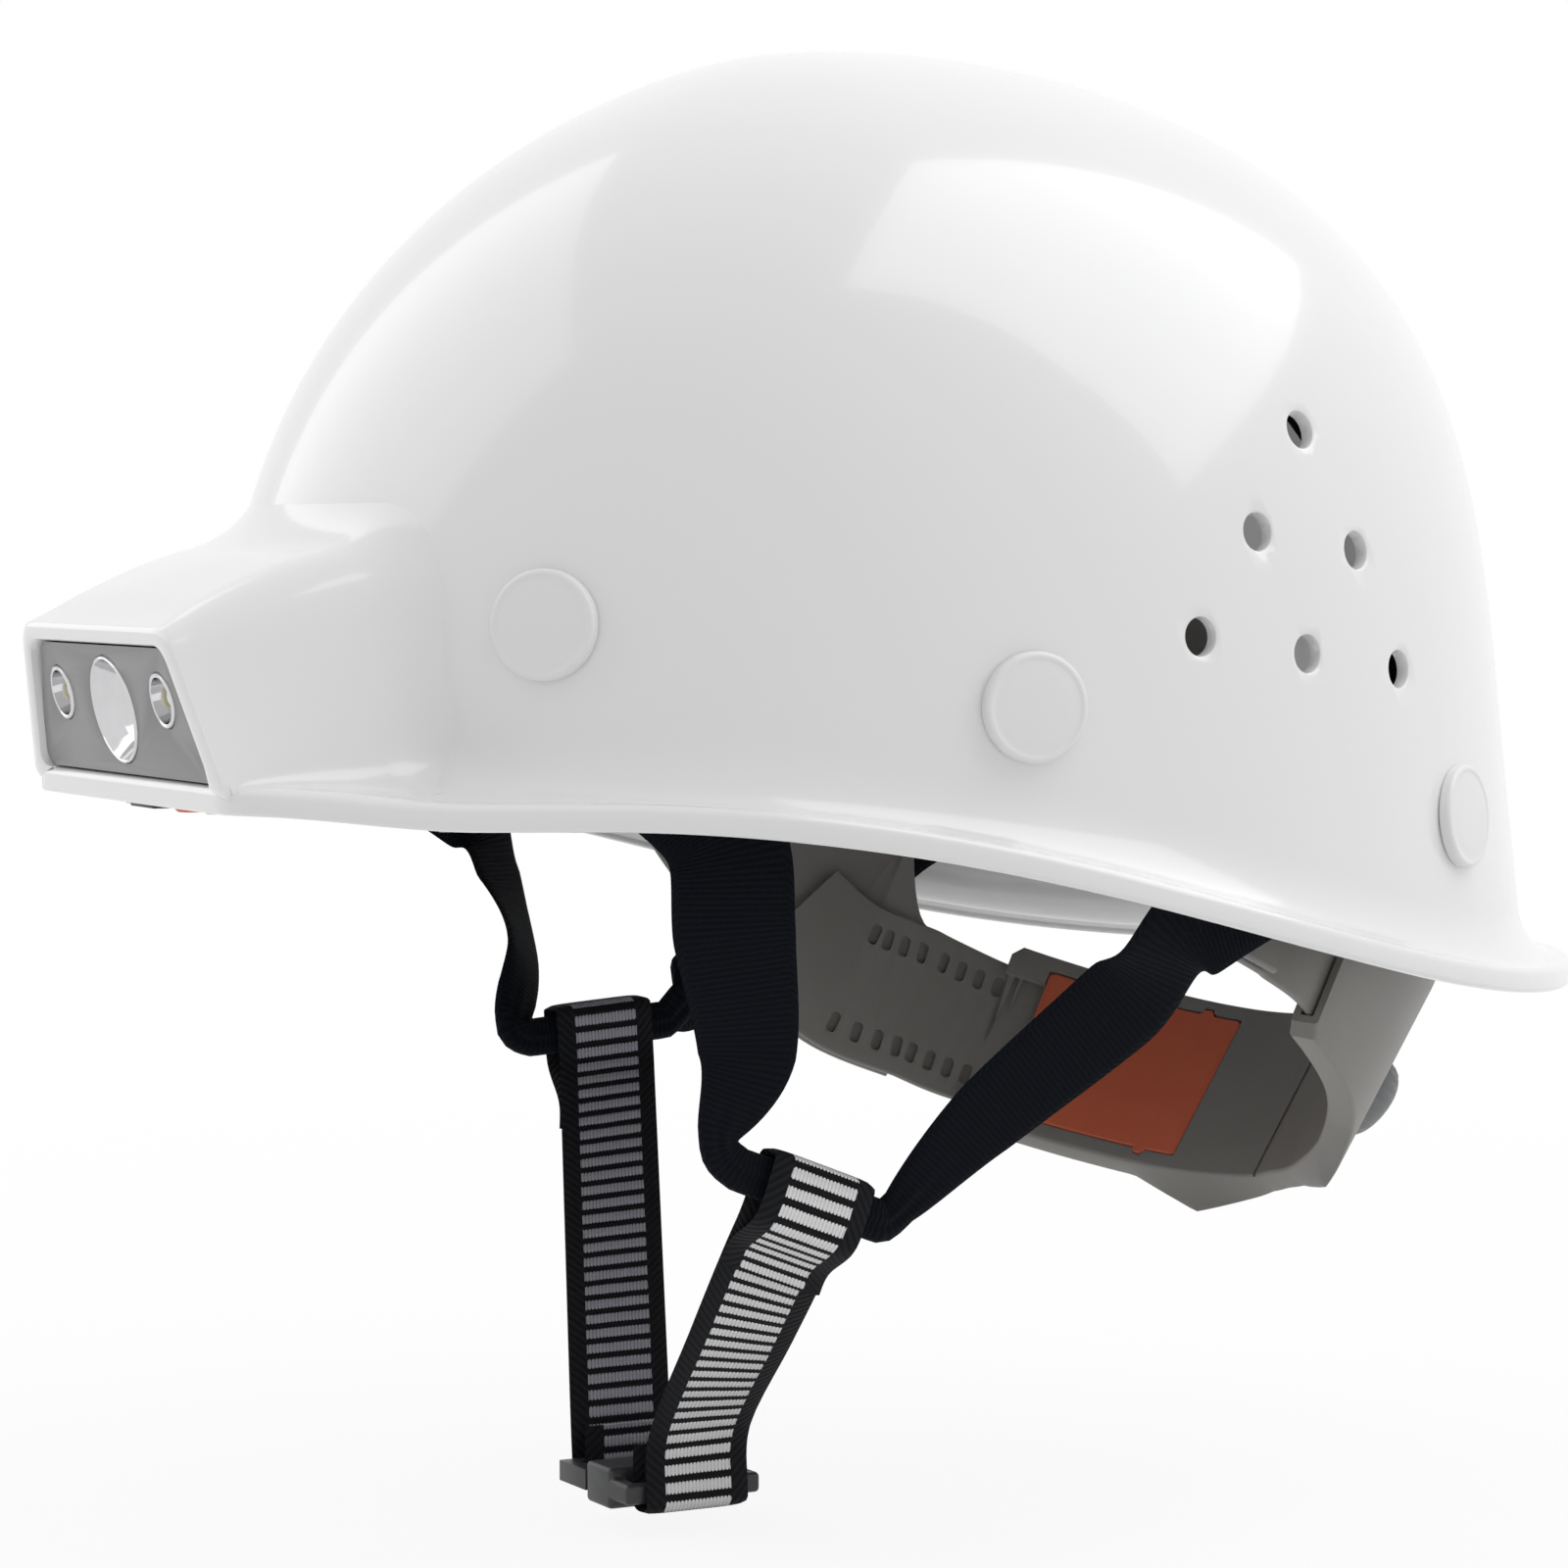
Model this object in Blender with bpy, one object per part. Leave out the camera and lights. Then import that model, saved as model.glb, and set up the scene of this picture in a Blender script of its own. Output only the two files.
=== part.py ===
# Hard hat for climbing and site work, with a lamp built into its peak.
# Frame: +X is the wearer's left, -Y the front, +Z up. The origin is the centre of
# the head opening, level with the brim at the temples.

import math

import bmesh
import bpy
from mathutils import Matrix, Vector

MM = 0.001

# Shell
SHELL_HALF_WIDTH = 105.0 * MM
SHELL_FRONT = 124.7 * MM
SHELL_REAR = 141.3 * MM
SHELL_HEIGHT = 152.0 * MM
SHELL_PITCH = math.radians(6.8)
SHELL_WALL = 2.6 * MM
SIDE_DROP_POWER = 3.61
FRONT_DROP_POWER = 2.52
REAR_DROP_POWER = 3.36
SIDE_ROUND_POWER = 1.90
FRONT_ROUND_POWER = 1.70
REAR_ROUND_POWER = 1.73
SKIRT_SPREAD = 0.02
CROWN_SHARE = 0.9995

# Brim
BRIM_HALF_WIDTH = 113.8 * MM
BRIM_FRONT = 131.0 * MM
BRIM_REAR = 157.0 * MM
BRIM_SIDE_LEVEL = 5.5 * MM
BRIM_FRONT_RISE = 2.8 * MM
BRIM_REAR_DROP = 38.6 * MM
BRIM_DROP_START = -94.0 * MM
BRIM_DROP_END = 132.0 * MM
LIP_HEIGHT = 5.0 * MM
FLARE_HEIGHT = 12.0 * MM
FLARE_REACH = 15.0 * MM
PEAK_HALF_WIDTH = 50.0 * MM
PEAK_FRONT = 151.5 * MM

# Vents, in a triangle of rows on each side
VENT_DIAMETER = 7.0 * MM
VENT_ROWS = 3
VENT_FIRST_ANGLE = 29.6
VENT_ROW_ANGLE = -2.35
VENT_PITCH_ANGLE = 13.9
VENT_FIRST_SHARE = 0.468
VENT_ROW_SHARE = -0.1345
VENT_PITCH_SHARE = -0.0435

# Plug caps and the hangers that they hold
CAP_DIAMETER = 20.0 * MM
CAP_THICKNESS = 2.0 * MM
CAP_CROWN = 0.4 * MM
STEM_DIAMETER = 6.0 * MM
HANGER_WIDTH = 20.0 * MM
HANGER_HEIGHT = 25.0 * MM
HANGER_THICKNESS = 3.0 * MM
HANGER_SAG = 1.2 * MM
CAP_SPOTS = {"front": (-54.3, 0.347), "middle": (-9.2, 0.191), "rear": (47.8, -0.050)}

# Lamp
LAMP_FACE_TOP = 41.0 * MM
LAMP_FACE_LEAN = math.radians(13.0)
LAMP_TOP_HALF_WIDTH = 37.7 * MM
LAMP_CROWN_RISE = 17.0 * MM
LAMP_CORNER = 7.0 * MM
LAMP_RIM = 3.4 * MM
LAMP_RECESS = 1.8 * MM
LAMP_DEPTH = 19.0 * MM
PANEL_THICKNESS = 2.0 * MM
PANEL_CORNER = 4.0 * MM
MAIN_LAMP_DIAMETER = 20.0 * MM
SIDE_LAMP_DIAMETER = 10.0 * MM
SIDE_LAMP_OFFSET = 26.0 * MM
SIDE_LAMP_RISE = 2.5 * MM
REFLECTOR_WALL = 0.8 * MM
MAIN_REFLECTOR_DEPTH = 7.4 * MM
SIDE_REFLECTOR_DEPTH = 4.6 * MM
LED_DIAMETER = 5.0 * MM
BOARD_SETBACK = 9.6 * MM
BOARD_THICKNESS = 1.2 * MM
BOARD_HALF_WIDTH = 33.0 * MM
BOARD_HEIGHT = 19.0 * MM
BATTERY_LENGTH = 52.0 * MM
BATTERY_HEIGHT = 17.0 * MM
BATTERY_THICKNESS = 6.0 * MM
PLATE_HALF_WIDTH = 24.0 * MM
PLATE_LENGTH = 13.0 * MM
PLATE_THICKNESS = 2.0 * MM
HATCH_HALF_WIDTH = 16.5 * MM
HATCH_LENGTH = 8.0 * MM
BUTTON_DIAMETER = 6.4 * MM
BUTTON_OFFSET = 8.5 * MM
BUTTON_STAND = 1.6 * MM
BUTTON_FLANGE = 1.0 * MM
SOCKET_WIDTH = 8.4 * MM
SOCKET_DEPTH = 3.2 * MM
SOCKET_HEIGHT = 5.0 * MM
SOCKET_OFFSET = -8.0 * MM
FLAP_WIDTH = 12.0 * MM
FLAP_LENGTH = 7.0 * MM
FLAP_THICKNESS = 1.2 * MM
SCREW_OFFSET = 20.5 * MM
SCREW_HEAD_DIAMETER = 4.4 * MM
SCREW_DIAMETER = 2.4 * MM

# Webbing
WEB_THICKNESS = 1.2 * MM
CROWN_STRAP_WIDTH = 20.0 * MM
LEG_STRAP_WIDTH = 22.0 * MM
CHIN_STRAP_WIDTH = 22.0 * MM
GATHER_WIDTH = 8.0 * MM
GATHER_THICKNESS = 3.4 * MM
CROWN_GAP = 34.0 * MM
CROWN_FLAT = 19.0 * MM
CROWN_PAD_DIAMETER = 62.0 * MM
CROWN_PAD_THICKNESS = 6.0 * MM
STRAP_WALL_GAP = 6.0 * MM
LOOP_FIT = 0.8 * MM

# Headband, drawn level and then hung as it was found: nearly level in front, tilted at the nape
FRONT_TILT = math.radians(4.0)
NAPE_TILT = math.radians(13.0)
TWIST_START = -30.0 * MM
TWIST_END = 30.0 * MM
BAND_THICKNESS = 1.8 * MM
BAND_HEIGHT = 34.0 * MM
EAR_RISE = 22.0 * MM
EAR_START = 4.0 * MM
EAR_END = 52.0 * MM
EAR_BLEND = 14.0 * MM
TAIL_THICKNESS = 1.6 * MM
TAIL_HEIGHT = 34.0 * MM
SLOT_COUNT = 8
SLOT_LENGTH = 2.2 * MM
SLOT_HEIGHT = 4.6 * MM
SLOT_PITCH = 4.4 * MM
SLOT_ROW = 10.8 * MM
SLOT_START = 19.0 * MM
SLEEVE_WALL = 1.6 * MM
SLEEVE_PLAY = 0.7 * MM
SLEEVE_EDGE = 4.0 * MM
SLEEVE_POINT = 6.0 * MM
SLEEVE_POINT_PLACE = 24.0 * MM
SLEEVE_POINT_SPAN = 18.0 * MM
KEY_LENGTH = 45.0 * MM
KEY_HEIGHT = 35.0 * MM
KEY_START = 9.5 * MM
SLOT_WINDOW_HEIGHT = 29.0 * MM
KNOB_DIAMETER = 19.0 * MM
KNOB_HEIGHT = 8.0 * MM
KNOB_RISE = 6.0 * MM
NAPE_LEAN = math.radians(39.0)
NAPE_LEAN_START = 40.0 * MM
NAPE_LEAN_END = 70.0 * MM
NAPE_CENTRE = 60.0 * MM
SWEATBAND_THICKNESS = 3.2 * MM
SWEATBAND_HEIGHT = 30.0 * MM

# Buckle
BUCKLE_WIDTH = 29.0 * MM
BUCKLE_THICKNESS = 8.0 * MM
BUCKLE_HALF_LENGTH = 15.0 * MM
BUCKLE_BAR = 3.0 * MM
BUCKLE_SLOT = 4.6 * MM
BUCKLE_MOUTH = -3.0 * MM
BUCKLE_TONGUE = 7.6 * MM
BUCKLE_WALL = 1.8 * MM
BUCKLE_PLACE = (0.0 * MM, -42.5 * MM, -127.0 * MM)

FIT = 0.3 * MM
RING_STEPS = 60
ROUND_STEPS = 24
DRILL_STEPS = 12

# Routes that the bands and soft straps take, chosen to hang as they were found. The first number of
# each point is a share of the shell's half width, and the other two are millimetres.
HEADBAND_ROUTE = [
    (0, -80, 18), (0.286, -75, 18), (0.533, -57, 19), (0.695, -28, 21), (0.752, -2, 21),
    (0.76, 14, 7), (0.755, 25.5, -9), (0.742, 37, -20.5), (0.715, 52, -28),
]
TAIL_ROUTE = [(0.654, 66, -36), (0.49, 86.5, -48), (0.29, 98.5, -56.5), (0.1, 104.3, -60.7), (0, 105, -61)]
LEG_ROUTES = {
    "left": {
        "front_angle": -41.0,
        "rear_angle": 11.5,
        "inside_angle": 32.0,
        "down": [(0.752, -67, -14), (0.724, -63, -36)],
        "loop": (0.686, -48, -62.5),
        "slope": -21.5,
        "up": [(0.743, -15, -50), (0.838, 9.5, -28)],
        "turns": {"front": 20, "down": (29, 25), "up": (-8, -14), "rear": -20},
    },
    "right": {
        "front_angle": -25.0,
        "rear_angle": 26.0,
        "inside_angle": 38.0,
        "down": [(-0.838, -36, -14), (-0.762, -34, -30)],
        "loop": (-0.686, -20.3, -46.5),
        "slope": 4.0,
        "up": [(-0.762, 4, -41), (-0.867, 32, -29)],
        "turns": {"front": 25, "down": (41, 41), "up": (0, 0), "rear": 0},
    },
}

SIDES = {"left": 1.0, "right": -1.0}
CORNERS = ((-1, -1), (1, -1), (1, 1), (-1, 1))

PAINTS = {
    "white_shell": ((0.86, 0.86, 0.86), 0.22, 0.0),
    "white_cap": ((0.84, 0.84, 0.84), 0.30, 0.0),
    "grey_plastic": ((0.36, 0.35, 0.33), 0.55, 0.0),
    "grey_panel": ((0.42, 0.42, 0.42), 0.45, 0.0),
    "orange_plastic": ((0.85, 0.14, 0.03), 0.45, 0.0),
    "black_plastic": ((0.03, 0.03, 0.035), 0.45, 0.0),
    "black_webbing": ((0.012, 0.014, 0.02), 0.85, 0.0),
    "barred_webbing": ((0.30, 0.30, 0.32), 0.80, 0.0),
    "black_foam": ((0.03, 0.03, 0.03), 0.95, 0.0),
    "chrome": ((0.80, 0.80, 0.80), 0.10, 1.0),
    "steel": ((0.55, 0.55, 0.55), 0.30, 1.0),
    "led": ((0.90, 0.86, 0.55), 0.20, 0.0),
    "green_board": ((0.05, 0.22, 0.08), 0.50, 0.0),
    "blue_wrap": ((0.05, 0.12, 0.40), 0.40, 0.0),
}


def clear_scene():
    for old in list(bpy.data.objects):
        bpy.data.objects.remove(old, do_unlink=True)


def paint(name):
    material = bpy.data.materials.get(name)
    if material is None:
        colour, rough, metal = PAINTS[name]
        material = bpy.data.materials.new(name)
        material.use_nodes = True
        shader = material.node_tree.nodes["Principled BSDF"]
        shader.inputs["Base Color"].default_value = (*colour, 1.0)
        shader.inputs["Roughness"].default_value = rough
        shader.inputs["Metallic"].default_value = metal
    return material


def add_mesh(name, points, faces, finish, smooth=True):
    mesh = bpy.data.meshes.new(name)
    mesh.from_pydata([tuple(point) for point in points], [], faces)
    shape = bmesh.new()
    shape.from_mesh(mesh)
    bmesh.ops.recalc_face_normals(shape, faces=shape.faces)
    shape.to_mesh(mesh)
    shape.free()
    if smooth:
        mesh.shade_smooth()
        mesh.set_sharp_from_angle(angle=math.radians(35))
    piece = bpy.data.objects.new(name, mesh)
    piece.data.materials.append(paint(finish))
    bpy.context.scene.collection.objects.link(piece)
    return piece


def as_cutter(piece):
    piece.hide_render = True
    piece.display_type = "WIRE"
    return piece


def boolean(piece, other, operation):
    cut = piece.modifiers.new(operation.lower(), "BOOLEAN")
    cut.operation = operation
    cut.solver = "EXACT"
    cut.object = other


def put_origin(piece, place):
    # The mesh stays where it is while the object's origin moves to its joint.
    piece.data.transform(Matrix.Translation(-Vector(place)))
    piece.location = place


def route_point(point):
    share, along, level = point
    return Vector((share * SHELL_HALF_WIDTH, along * MM, level * MM))


# Lofts: rings of points joined into one closed body

def loft(name, rings, finish, closed=False, smooth=True, paired=False):
    # Paired faces on opposite sides fold along the same diagonal, so that a twist doesn't pinch a thin strip.
    count = len(rings[0])
    points = [point for ring in rings for point in ring]
    faces = []
    spans = len(rings) if closed else len(rings) - 1
    for span in range(spans):
        low = span * count
        high = ((span + 1) % len(rings)) * count
        for step in range(count):
            after = (step + 1) % count
            corners = [low + step, low + after, high + after, high + step]
            if paired and step >= count / 2:
                corners = corners[1:] + corners[:1]
            faces.append(tuple(corners))
    if not closed:
        faces.append(tuple(range(count)))
        faces.append(tuple(range(len(points) - count, len(points))))
    return add_mesh(name, points, faces, finish, smooth)


def basis(axis):
    axis = Vector(axis).normalized()
    guide = Vector((0, 0, 1)) if abs(axis.z) < 0.9 else Vector((1, 0, 0))
    first = axis.cross(guide).normalized()
    return axis, first, axis.cross(first)


def circle(place, axis, radius, steps):
    axis, first, second = basis(axis)
    ring = []
    for step in range(steps):
        turn = 2 * math.pi * step / steps
        ring.append(Vector(place) + (first * math.cos(turn) + second * math.sin(turn)) * radius)
    return ring


def lathe(name, profile, place, axis, finish, steps=ROUND_STEPS, closed=False):
    # The profile is (radius, distance along the axis) from one end to the other.
    axis = Vector(axis).normalized()
    rings = [circle(Vector(place) + axis * along, axis, radius, steps) for radius, along in profile]
    return loft(name, rings, finish, closed)


def drill(name, radius, low, high, place, axis, finish, steps=DRILL_STEPS):
    # A round cutter from low to high along the axis.
    return as_cutter(lathe(name, [(radius, low), (radius, high)], place, axis, finish, steps))


def box(name, low, high, finish):
    lower = [(low[0], low[1]), (high[0], low[1]), (high[0], high[1]), (low[0], high[1])]
    rings = [[Vector((x, y, z)) for x, y in lower] for z in (low[2], high[2])]
    return loft(name, rings, finish, smooth=False)


def smooth_route(points, per_span):
    # A curve through every point, with each tangent taken from its neighbours.
    route = []
    for place in range(len(points) - 1):
        before = points[max(place - 1, 0)]
        start = points[place]
        end = points[place + 1]
        after = points[min(place + 2, len(points) - 1)]
        for step in range(per_span):
            t = step / per_span
            leave = (end - before) * 0.5
            arrive = (after - start) * 0.5
            route.append(
                start * (2 * t**3 - 3 * t**2 + 1)
                + leave * (t**3 - 2 * t**2 + t)
                + end * (3 * t**2 - 2 * t**3)
                + arrive * (t**3 - t**2)
            )
    route.append(points[-1])
    return route


def even_values(values, per_span):
    # Values that change evenly between stops, so that no width overshoots.
    found = []
    for start, end in zip(values, values[1:]):
        found += [start + (end - start) * step / per_span for step in range(per_span)]
    return found + [values[-1]]


def tangents(route):
    found = []
    for place in range(len(route)):
        before = route[max(place - 1, 0)]
        after = route[min(place + 1, len(route) - 1)]
        found.append((after - before).normalized())
    return found


def ribbon(name, route, across, widths, thicknesses, finish):
    # A flat strip: across holds each section's width direction.
    rings = []
    for point, along, side, width, thick in zip(route, tangents(route), across, widths, thicknesses):
        side = (side - along * side.dot(along)).normalized()
        face = side.cross(along)
        half = side * width / 2
        skin = face * thick / 2
        rings.append([point - half - skin, point + half - skin, point + half + skin, point - half + skin])
    return loft(name, rings, finish, paired=True)


def across_from_normals(route, normals):
    return [along.cross(normal).normalized() for along, normal in zip(tangents(route), normals)]


# Shell surfaces

def smooth_step(value, start, end):
    t = min(max((value - start) / (end - start), 0.0), 1.0)
    return t * t * (3 - 2 * t)


def lip_level(y):
    level = BRIM_SIDE_LEVEL - BRIM_REAR_DROP * smooth_step(y, BRIM_DROP_START, BRIM_DROP_END)
    return level + BRIM_FRONT_RISE * smooth_step(-y, 0.75 * PEAK_FRONT, PEAK_FRONT)


def oval(angle, half_width, front, rear):
    across = math.cos(angle) / half_width
    along = math.sin(angle) / (rear if math.sin(angle) > 0 else front)
    return 1 / math.hypot(across, along)


def dome_point(angle, share, inset=0.0):
    # share is the height within the dome: 1 at the crown, 0 at its widest, less below.
    reach = oval(angle, SHELL_HALF_WIDTH - inset, SHELL_FRONT - inset, SHELL_REAR - inset)
    tilt = math.sin(angle) ** 2
    rear = math.sin(angle) > 0
    drop = SIDE_DROP_POWER + ((REAR_DROP_POWER if rear else FRONT_DROP_POWER) - SIDE_DROP_POWER) * tilt
    bend = SIDE_ROUND_POWER + ((REAR_ROUND_POWER if rear else FRONT_ROUND_POWER) - SIDE_ROUND_POWER) * tilt
    if share > 0:
        scale = max(1 - share**drop, 0.0) ** (1 / bend)
    else:
        scale = 1 - SKIRT_SPREAD * share
    x = reach * math.cos(angle) * scale
    y = reach * math.sin(angle) * scale
    z = share * (SHELL_HEIGHT - inset)
    return Vector((
        x,
        y * math.cos(SHELL_PITCH) - z * math.sin(SHELL_PITCH),
        y * math.sin(SHELL_PITCH) + z * math.cos(SHELL_PITCH),
    ))


def share_at_level(angle, level, inset=0.0):
    low, high = -0.8, 0.98
    for _ in range(40):
        middle = (low + high) / 2
        if dome_point(angle, middle, inset).z > level:
            high = middle
        else:
            low = middle
    return low


def wall_at(angle_degrees, level, inset, side):
    angle = math.radians(angle_degrees)
    point = dome_point(angle, share_at_level(angle, level, inset), inset)
    return Vector((point.x * side, point.y, point.z))


def lip_point(angle, inset=0.0):
    # The brim's plan is an oval stretched straight out to the front edge of the peak.
    direction = Vector((math.cos(angle), math.sin(angle)))
    reach = oval(angle, BRIM_HALF_WIDTH - inset, BRIM_FRONT - inset, BRIM_REAR - inset)
    corner = Vector((PEAK_HALF_WIDTH - inset, -(PEAK_FRONT - inset)))
    if direction.y < 0:
        touch = peak_tangent(corner, inset)
        mirrored = Vector((abs(direction.x), direction.y))
        if math.atan2(mirrored.y, mirrored.x) < math.atan2(touch.y, touch.x):
            front = -corner.y / -mirrored.y
            edge = corner - touch
            slant = (touch.x * edge.y - touch.y * edge.x) / (mirrored.x * edge.y - mirrored.y * edge.x)
            reach = min(front, slant)
    return direction * reach


def peak_tangent(corner, inset):
    # The point of the front oval where a line from the peak's corner just touches it.
    best = None
    for step in range(1, 90):
        turn = -math.radians(step)
        point = Vector(((BRIM_HALF_WIDTH - inset) * math.cos(turn), (BRIM_FRONT - inset) * math.sin(turn)))
        lean = math.atan2(point.x - corner.x, point.y - corner.y)
        if best is None or lean > best[0]:
            best = (lean, point)
    return best[1]


def shell_rings(inset, shares):
    turns = [2 * math.pi * step / RING_STEPS for step in range(RING_STEPS)]
    crown = [dome_point(angle, CROWN_SHARE, inset) for angle in turns]
    columns = []
    for angle in turns:
        edge = lip_point(angle, inset)
        level = lip_level(lip_point(angle).y)
        flange = level + LIP_HEIGHT - inset
        start = flange + FLARE_HEIGHT
        base = share_at_level(angle, start, inset)
        column = [dome_point(angle, base + (CROWN_SHARE - base) * share, inset) for share in shares]
        wall = column[-1]
        out = Vector((edge.x - wall.x, edge.y - wall.y, 0))
        reach = min(0.8 * out.length, FLARE_REACH)
        for turn in (30, 60, 90):
            bend = math.radians(turn)
            drop = Vector((0, 0, -FLARE_HEIGHT * math.sin(bend)))
            column.append(wall + out.normalized() * reach * (1 - math.cos(bend)) + drop)
        column.append(Vector((edge.x, edge.y, flange)))
        column.append(Vector((edge.x, edge.y, level)))
        columns.append(column)
    rings = [[column[row] for column in columns] for row in range(len(columns[0]))]
    return [crown] + rings


def lamp_frame():
    # The lamp panel's centre, its up direction and its outward direction.
    up = Vector((0, -math.sin(LAMP_FACE_LEAN), math.cos(LAMP_FACE_LEAN)))
    out = Vector((0, -math.cos(LAMP_FACE_LEAN), -math.sin(LAMP_FACE_LEAN)))
    floor = lip_level(-PEAK_FRONT) + LIP_HEIGHT
    middle = (floor + LAMP_FACE_TOP - LAMP_RIM) / 2
    face = PEAK_FRONT + math.tan(LAMP_FACE_LEAN) * (middle - lip_level(-PEAK_FRONT))
    return Vector((0, -face + LAMP_RECESS, middle)), up, out


def trapezoid(low_half, high_half, low, high, corner):
    # Half widths at the low and high edges, with the corners rounded by three points.
    half = [(low_half, low), (high_half, high)]
    points = []
    for place, (x, v) in enumerate(half):
        for share in (1.0, 0.3, 0.0) if place == 0 else (0.0, 0.3, 1.0):
            slide = corner * share
            lift = corner * (1 - share) * (1 if place == 0 else -1)
            if share == 0.3:
                lift *= 0.43
            points.append((x - slide, v + lift))
    return points + [(-x, v) for x, v in reversed(points)]


def hood_block():
    floor = lip_level(-PEAK_FRONT) + LIP_HEIGHT / 2
    lean = math.tan(LAMP_FACE_LEAN)
    top = LAMP_FACE_TOP
    low_half = PEAK_HALF_WIDTH - FIT
    high_half = LAMP_TOP_HALF_WIDTH
    rise = LAMP_CROWN_RISE
    stations = [
        (PEAK_FRONT - FIT, lean, top, low_half, high_half),
        (PEAK_FRONT - 4 * MM, lean * 0.87, top + 0.13 * rise, low_half, high_half + 0.2 * MM),
        (PEAK_FRONT - 10 * MM, lean * 0.56, top + 0.38 * rise, low_half + 0.2 * MM, high_half + 1.2 * MM),
        (PEAK_FRONT - 21 * MM, lean * 0.22, top + 0.71 * rise, low_half + 1 * MM, high_half + 3 * MM),
        (PEAK_FRONT - 34 * MM, 0.0, top + 0.93 * rise, low_half + 2.6 * MM, high_half + 4.8 * MM),
        (SHELL_FRONT - 22 * MM, 0.0, top + rise, low_half + 5 * MM, high_half + 7 * MM),
    ]
    rings = []
    for forward, slope, height, low_width, high_width in stations:
        outline = trapezoid(low_width, high_width, floor, height, LAMP_CORNER)
        rings.append([Vector((x, -forward - slope * (z - floor), z)) for x, z in outline])
    return loft("hood_block", rings, "white_shell")


def panel_outline(clearance):
    centre, up, _ = lamp_frame()
    half = (LAMP_FACE_TOP - LAMP_RIM - centre.z) / up.z
    spread = (PEAK_HALF_WIDTH - LAMP_TOP_HALF_WIDTH) / (LAMP_FACE_TOP - lip_level(-PEAK_FRONT)) * 2 * half
    high_half = LAMP_TOP_HALF_WIDTH - LAMP_RIM
    low_half = high_half + spread
    edge = half - clearance
    return trapezoid(low_half - clearance, high_half - clearance, -edge, edge, PANEL_CORNER)


def lamp_point(x, v, depth):
    # A place on the leaning panel, moved straight back into the peak.
    centre, up, _ = lamp_frame()
    return centre + Vector((x, depth, 0)) + up * v


def cap_frame(place, side):
    angle_degrees, share = CAP_SPOTS[place]
    return wall_frame(math.radians(angle_degrees), share, side)


def wall_frame(angle, share, side):
    # A point of the outer wall with its outward, level and upward directions.
    nudge = 0.001
    point = dome_point(angle, share)
    level = dome_point(angle + nudge, share) - point
    rise = dome_point(angle, share + nudge) - point
    out = level.cross(rise).normalized()
    flip = Vector((side, 1, 1))
    point = point * flip
    out = (out * flip).normalized()
    level = (level * flip).normalized()
    rise = level.cross(out).normalized()
    if rise.z < 0:
        rise.negate()
    return point, out, level, rise


def drills():
    rings = []
    for side in SIDES.values():
        for row in range(VENT_ROWS):
            for column in range(row + 1):
                shift = column - row / 2
                angle = math.radians(VENT_FIRST_ANGLE + VENT_ROW_ANGLE * row + VENT_PITCH_ANGLE * shift)
                share = VENT_FIRST_SHARE + VENT_ROW_SHARE * row + VENT_PITCH_SHARE * shift
                point, out, _, _ = wall_frame(angle, share, side)
                rings.append((point, out, VENT_DIAMETER / 2))
        for place in CAP_SPOTS:
            point, out, _, _ = cap_frame(place, side)
            rings.append((point, out, STEM_DIAMETER / 2 + FIT))
    plate = switch_plate_place()
    for side in SIDES.values():
        point = plate + Vector((side * SCREW_OFFSET, 0, 0))
        rings.append((point, Vector((0, 0, 1)), SCREW_DIAMETER / 2 + FIT))
    points = []
    faces = []
    for point, axis, radius in rings:
        start = len(points)
        for end in (-2.5 * SHELL_WALL, 2.5 * SHELL_WALL):
            points += circle(point + axis.normalized() * end, axis, radius, DRILL_STEPS)
        for step in range(DRILL_STEPS):
            low = start + step
            low_after = start + (step + 1) % DRILL_STEPS
            faces.append((low, low_after, low_after + DRILL_STEPS, low + DRILL_STEPS))
        faces.append(tuple(range(start, start + DRILL_STEPS)))
        faces.append(tuple(range(start + DRILL_STEPS, start + 2 * DRILL_STEPS)))
    return as_cutter(add_mesh("shell_drills", points, faces, "white_shell"))


def build_shell():
    shares = (0.975, 0.93, 0.86, 0.76, 0.63, 0.48, 0.32, 0.16, 0.0)
    shell = loft("shell", shell_rings(0.0, shares), "white_shell")
    hood = as_cutter(hood_block())
    boolean(shell, hood, "UNION")
    inner = shell_rings(SHELL_WALL, shares)
    inner.append([point + Vector((0, 0, -3 * BRIM_REAR_DROP - point.z)) for point in inner[-1]])
    hollow = as_cutter(loft("shell_hollow", inner, "white_shell"))
    boolean(shell, hollow, "DIFFERENCE")
    outline = panel_outline(0.0)
    front = [lamp_point(x, v, -LAMP_DEPTH / 2) for x, v in outline]
    back = [lamp_point(x, v, LAMP_DEPTH) for x, v in outline]
    boolean(shell, as_cutter(loft("lamp_cavity", [front, back], "white_shell")), "DIFFERENCE")
    plate = switch_plate_place()
    low = plate + Vector((-HATCH_HALF_WIDTH, -HATCH_LENGTH / 2, -LIP_HEIGHT))
    high = plate + Vector((HATCH_HALF_WIDTH, HATCH_LENGTH / 2, 2 * LIP_HEIGHT))
    boolean(shell, as_cutter(box("lamp_hatch", low, high, "white_shell")), "DIFFERENCE")
    boolean(shell, drills(), "DIFFERENCE")
    return shell


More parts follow.
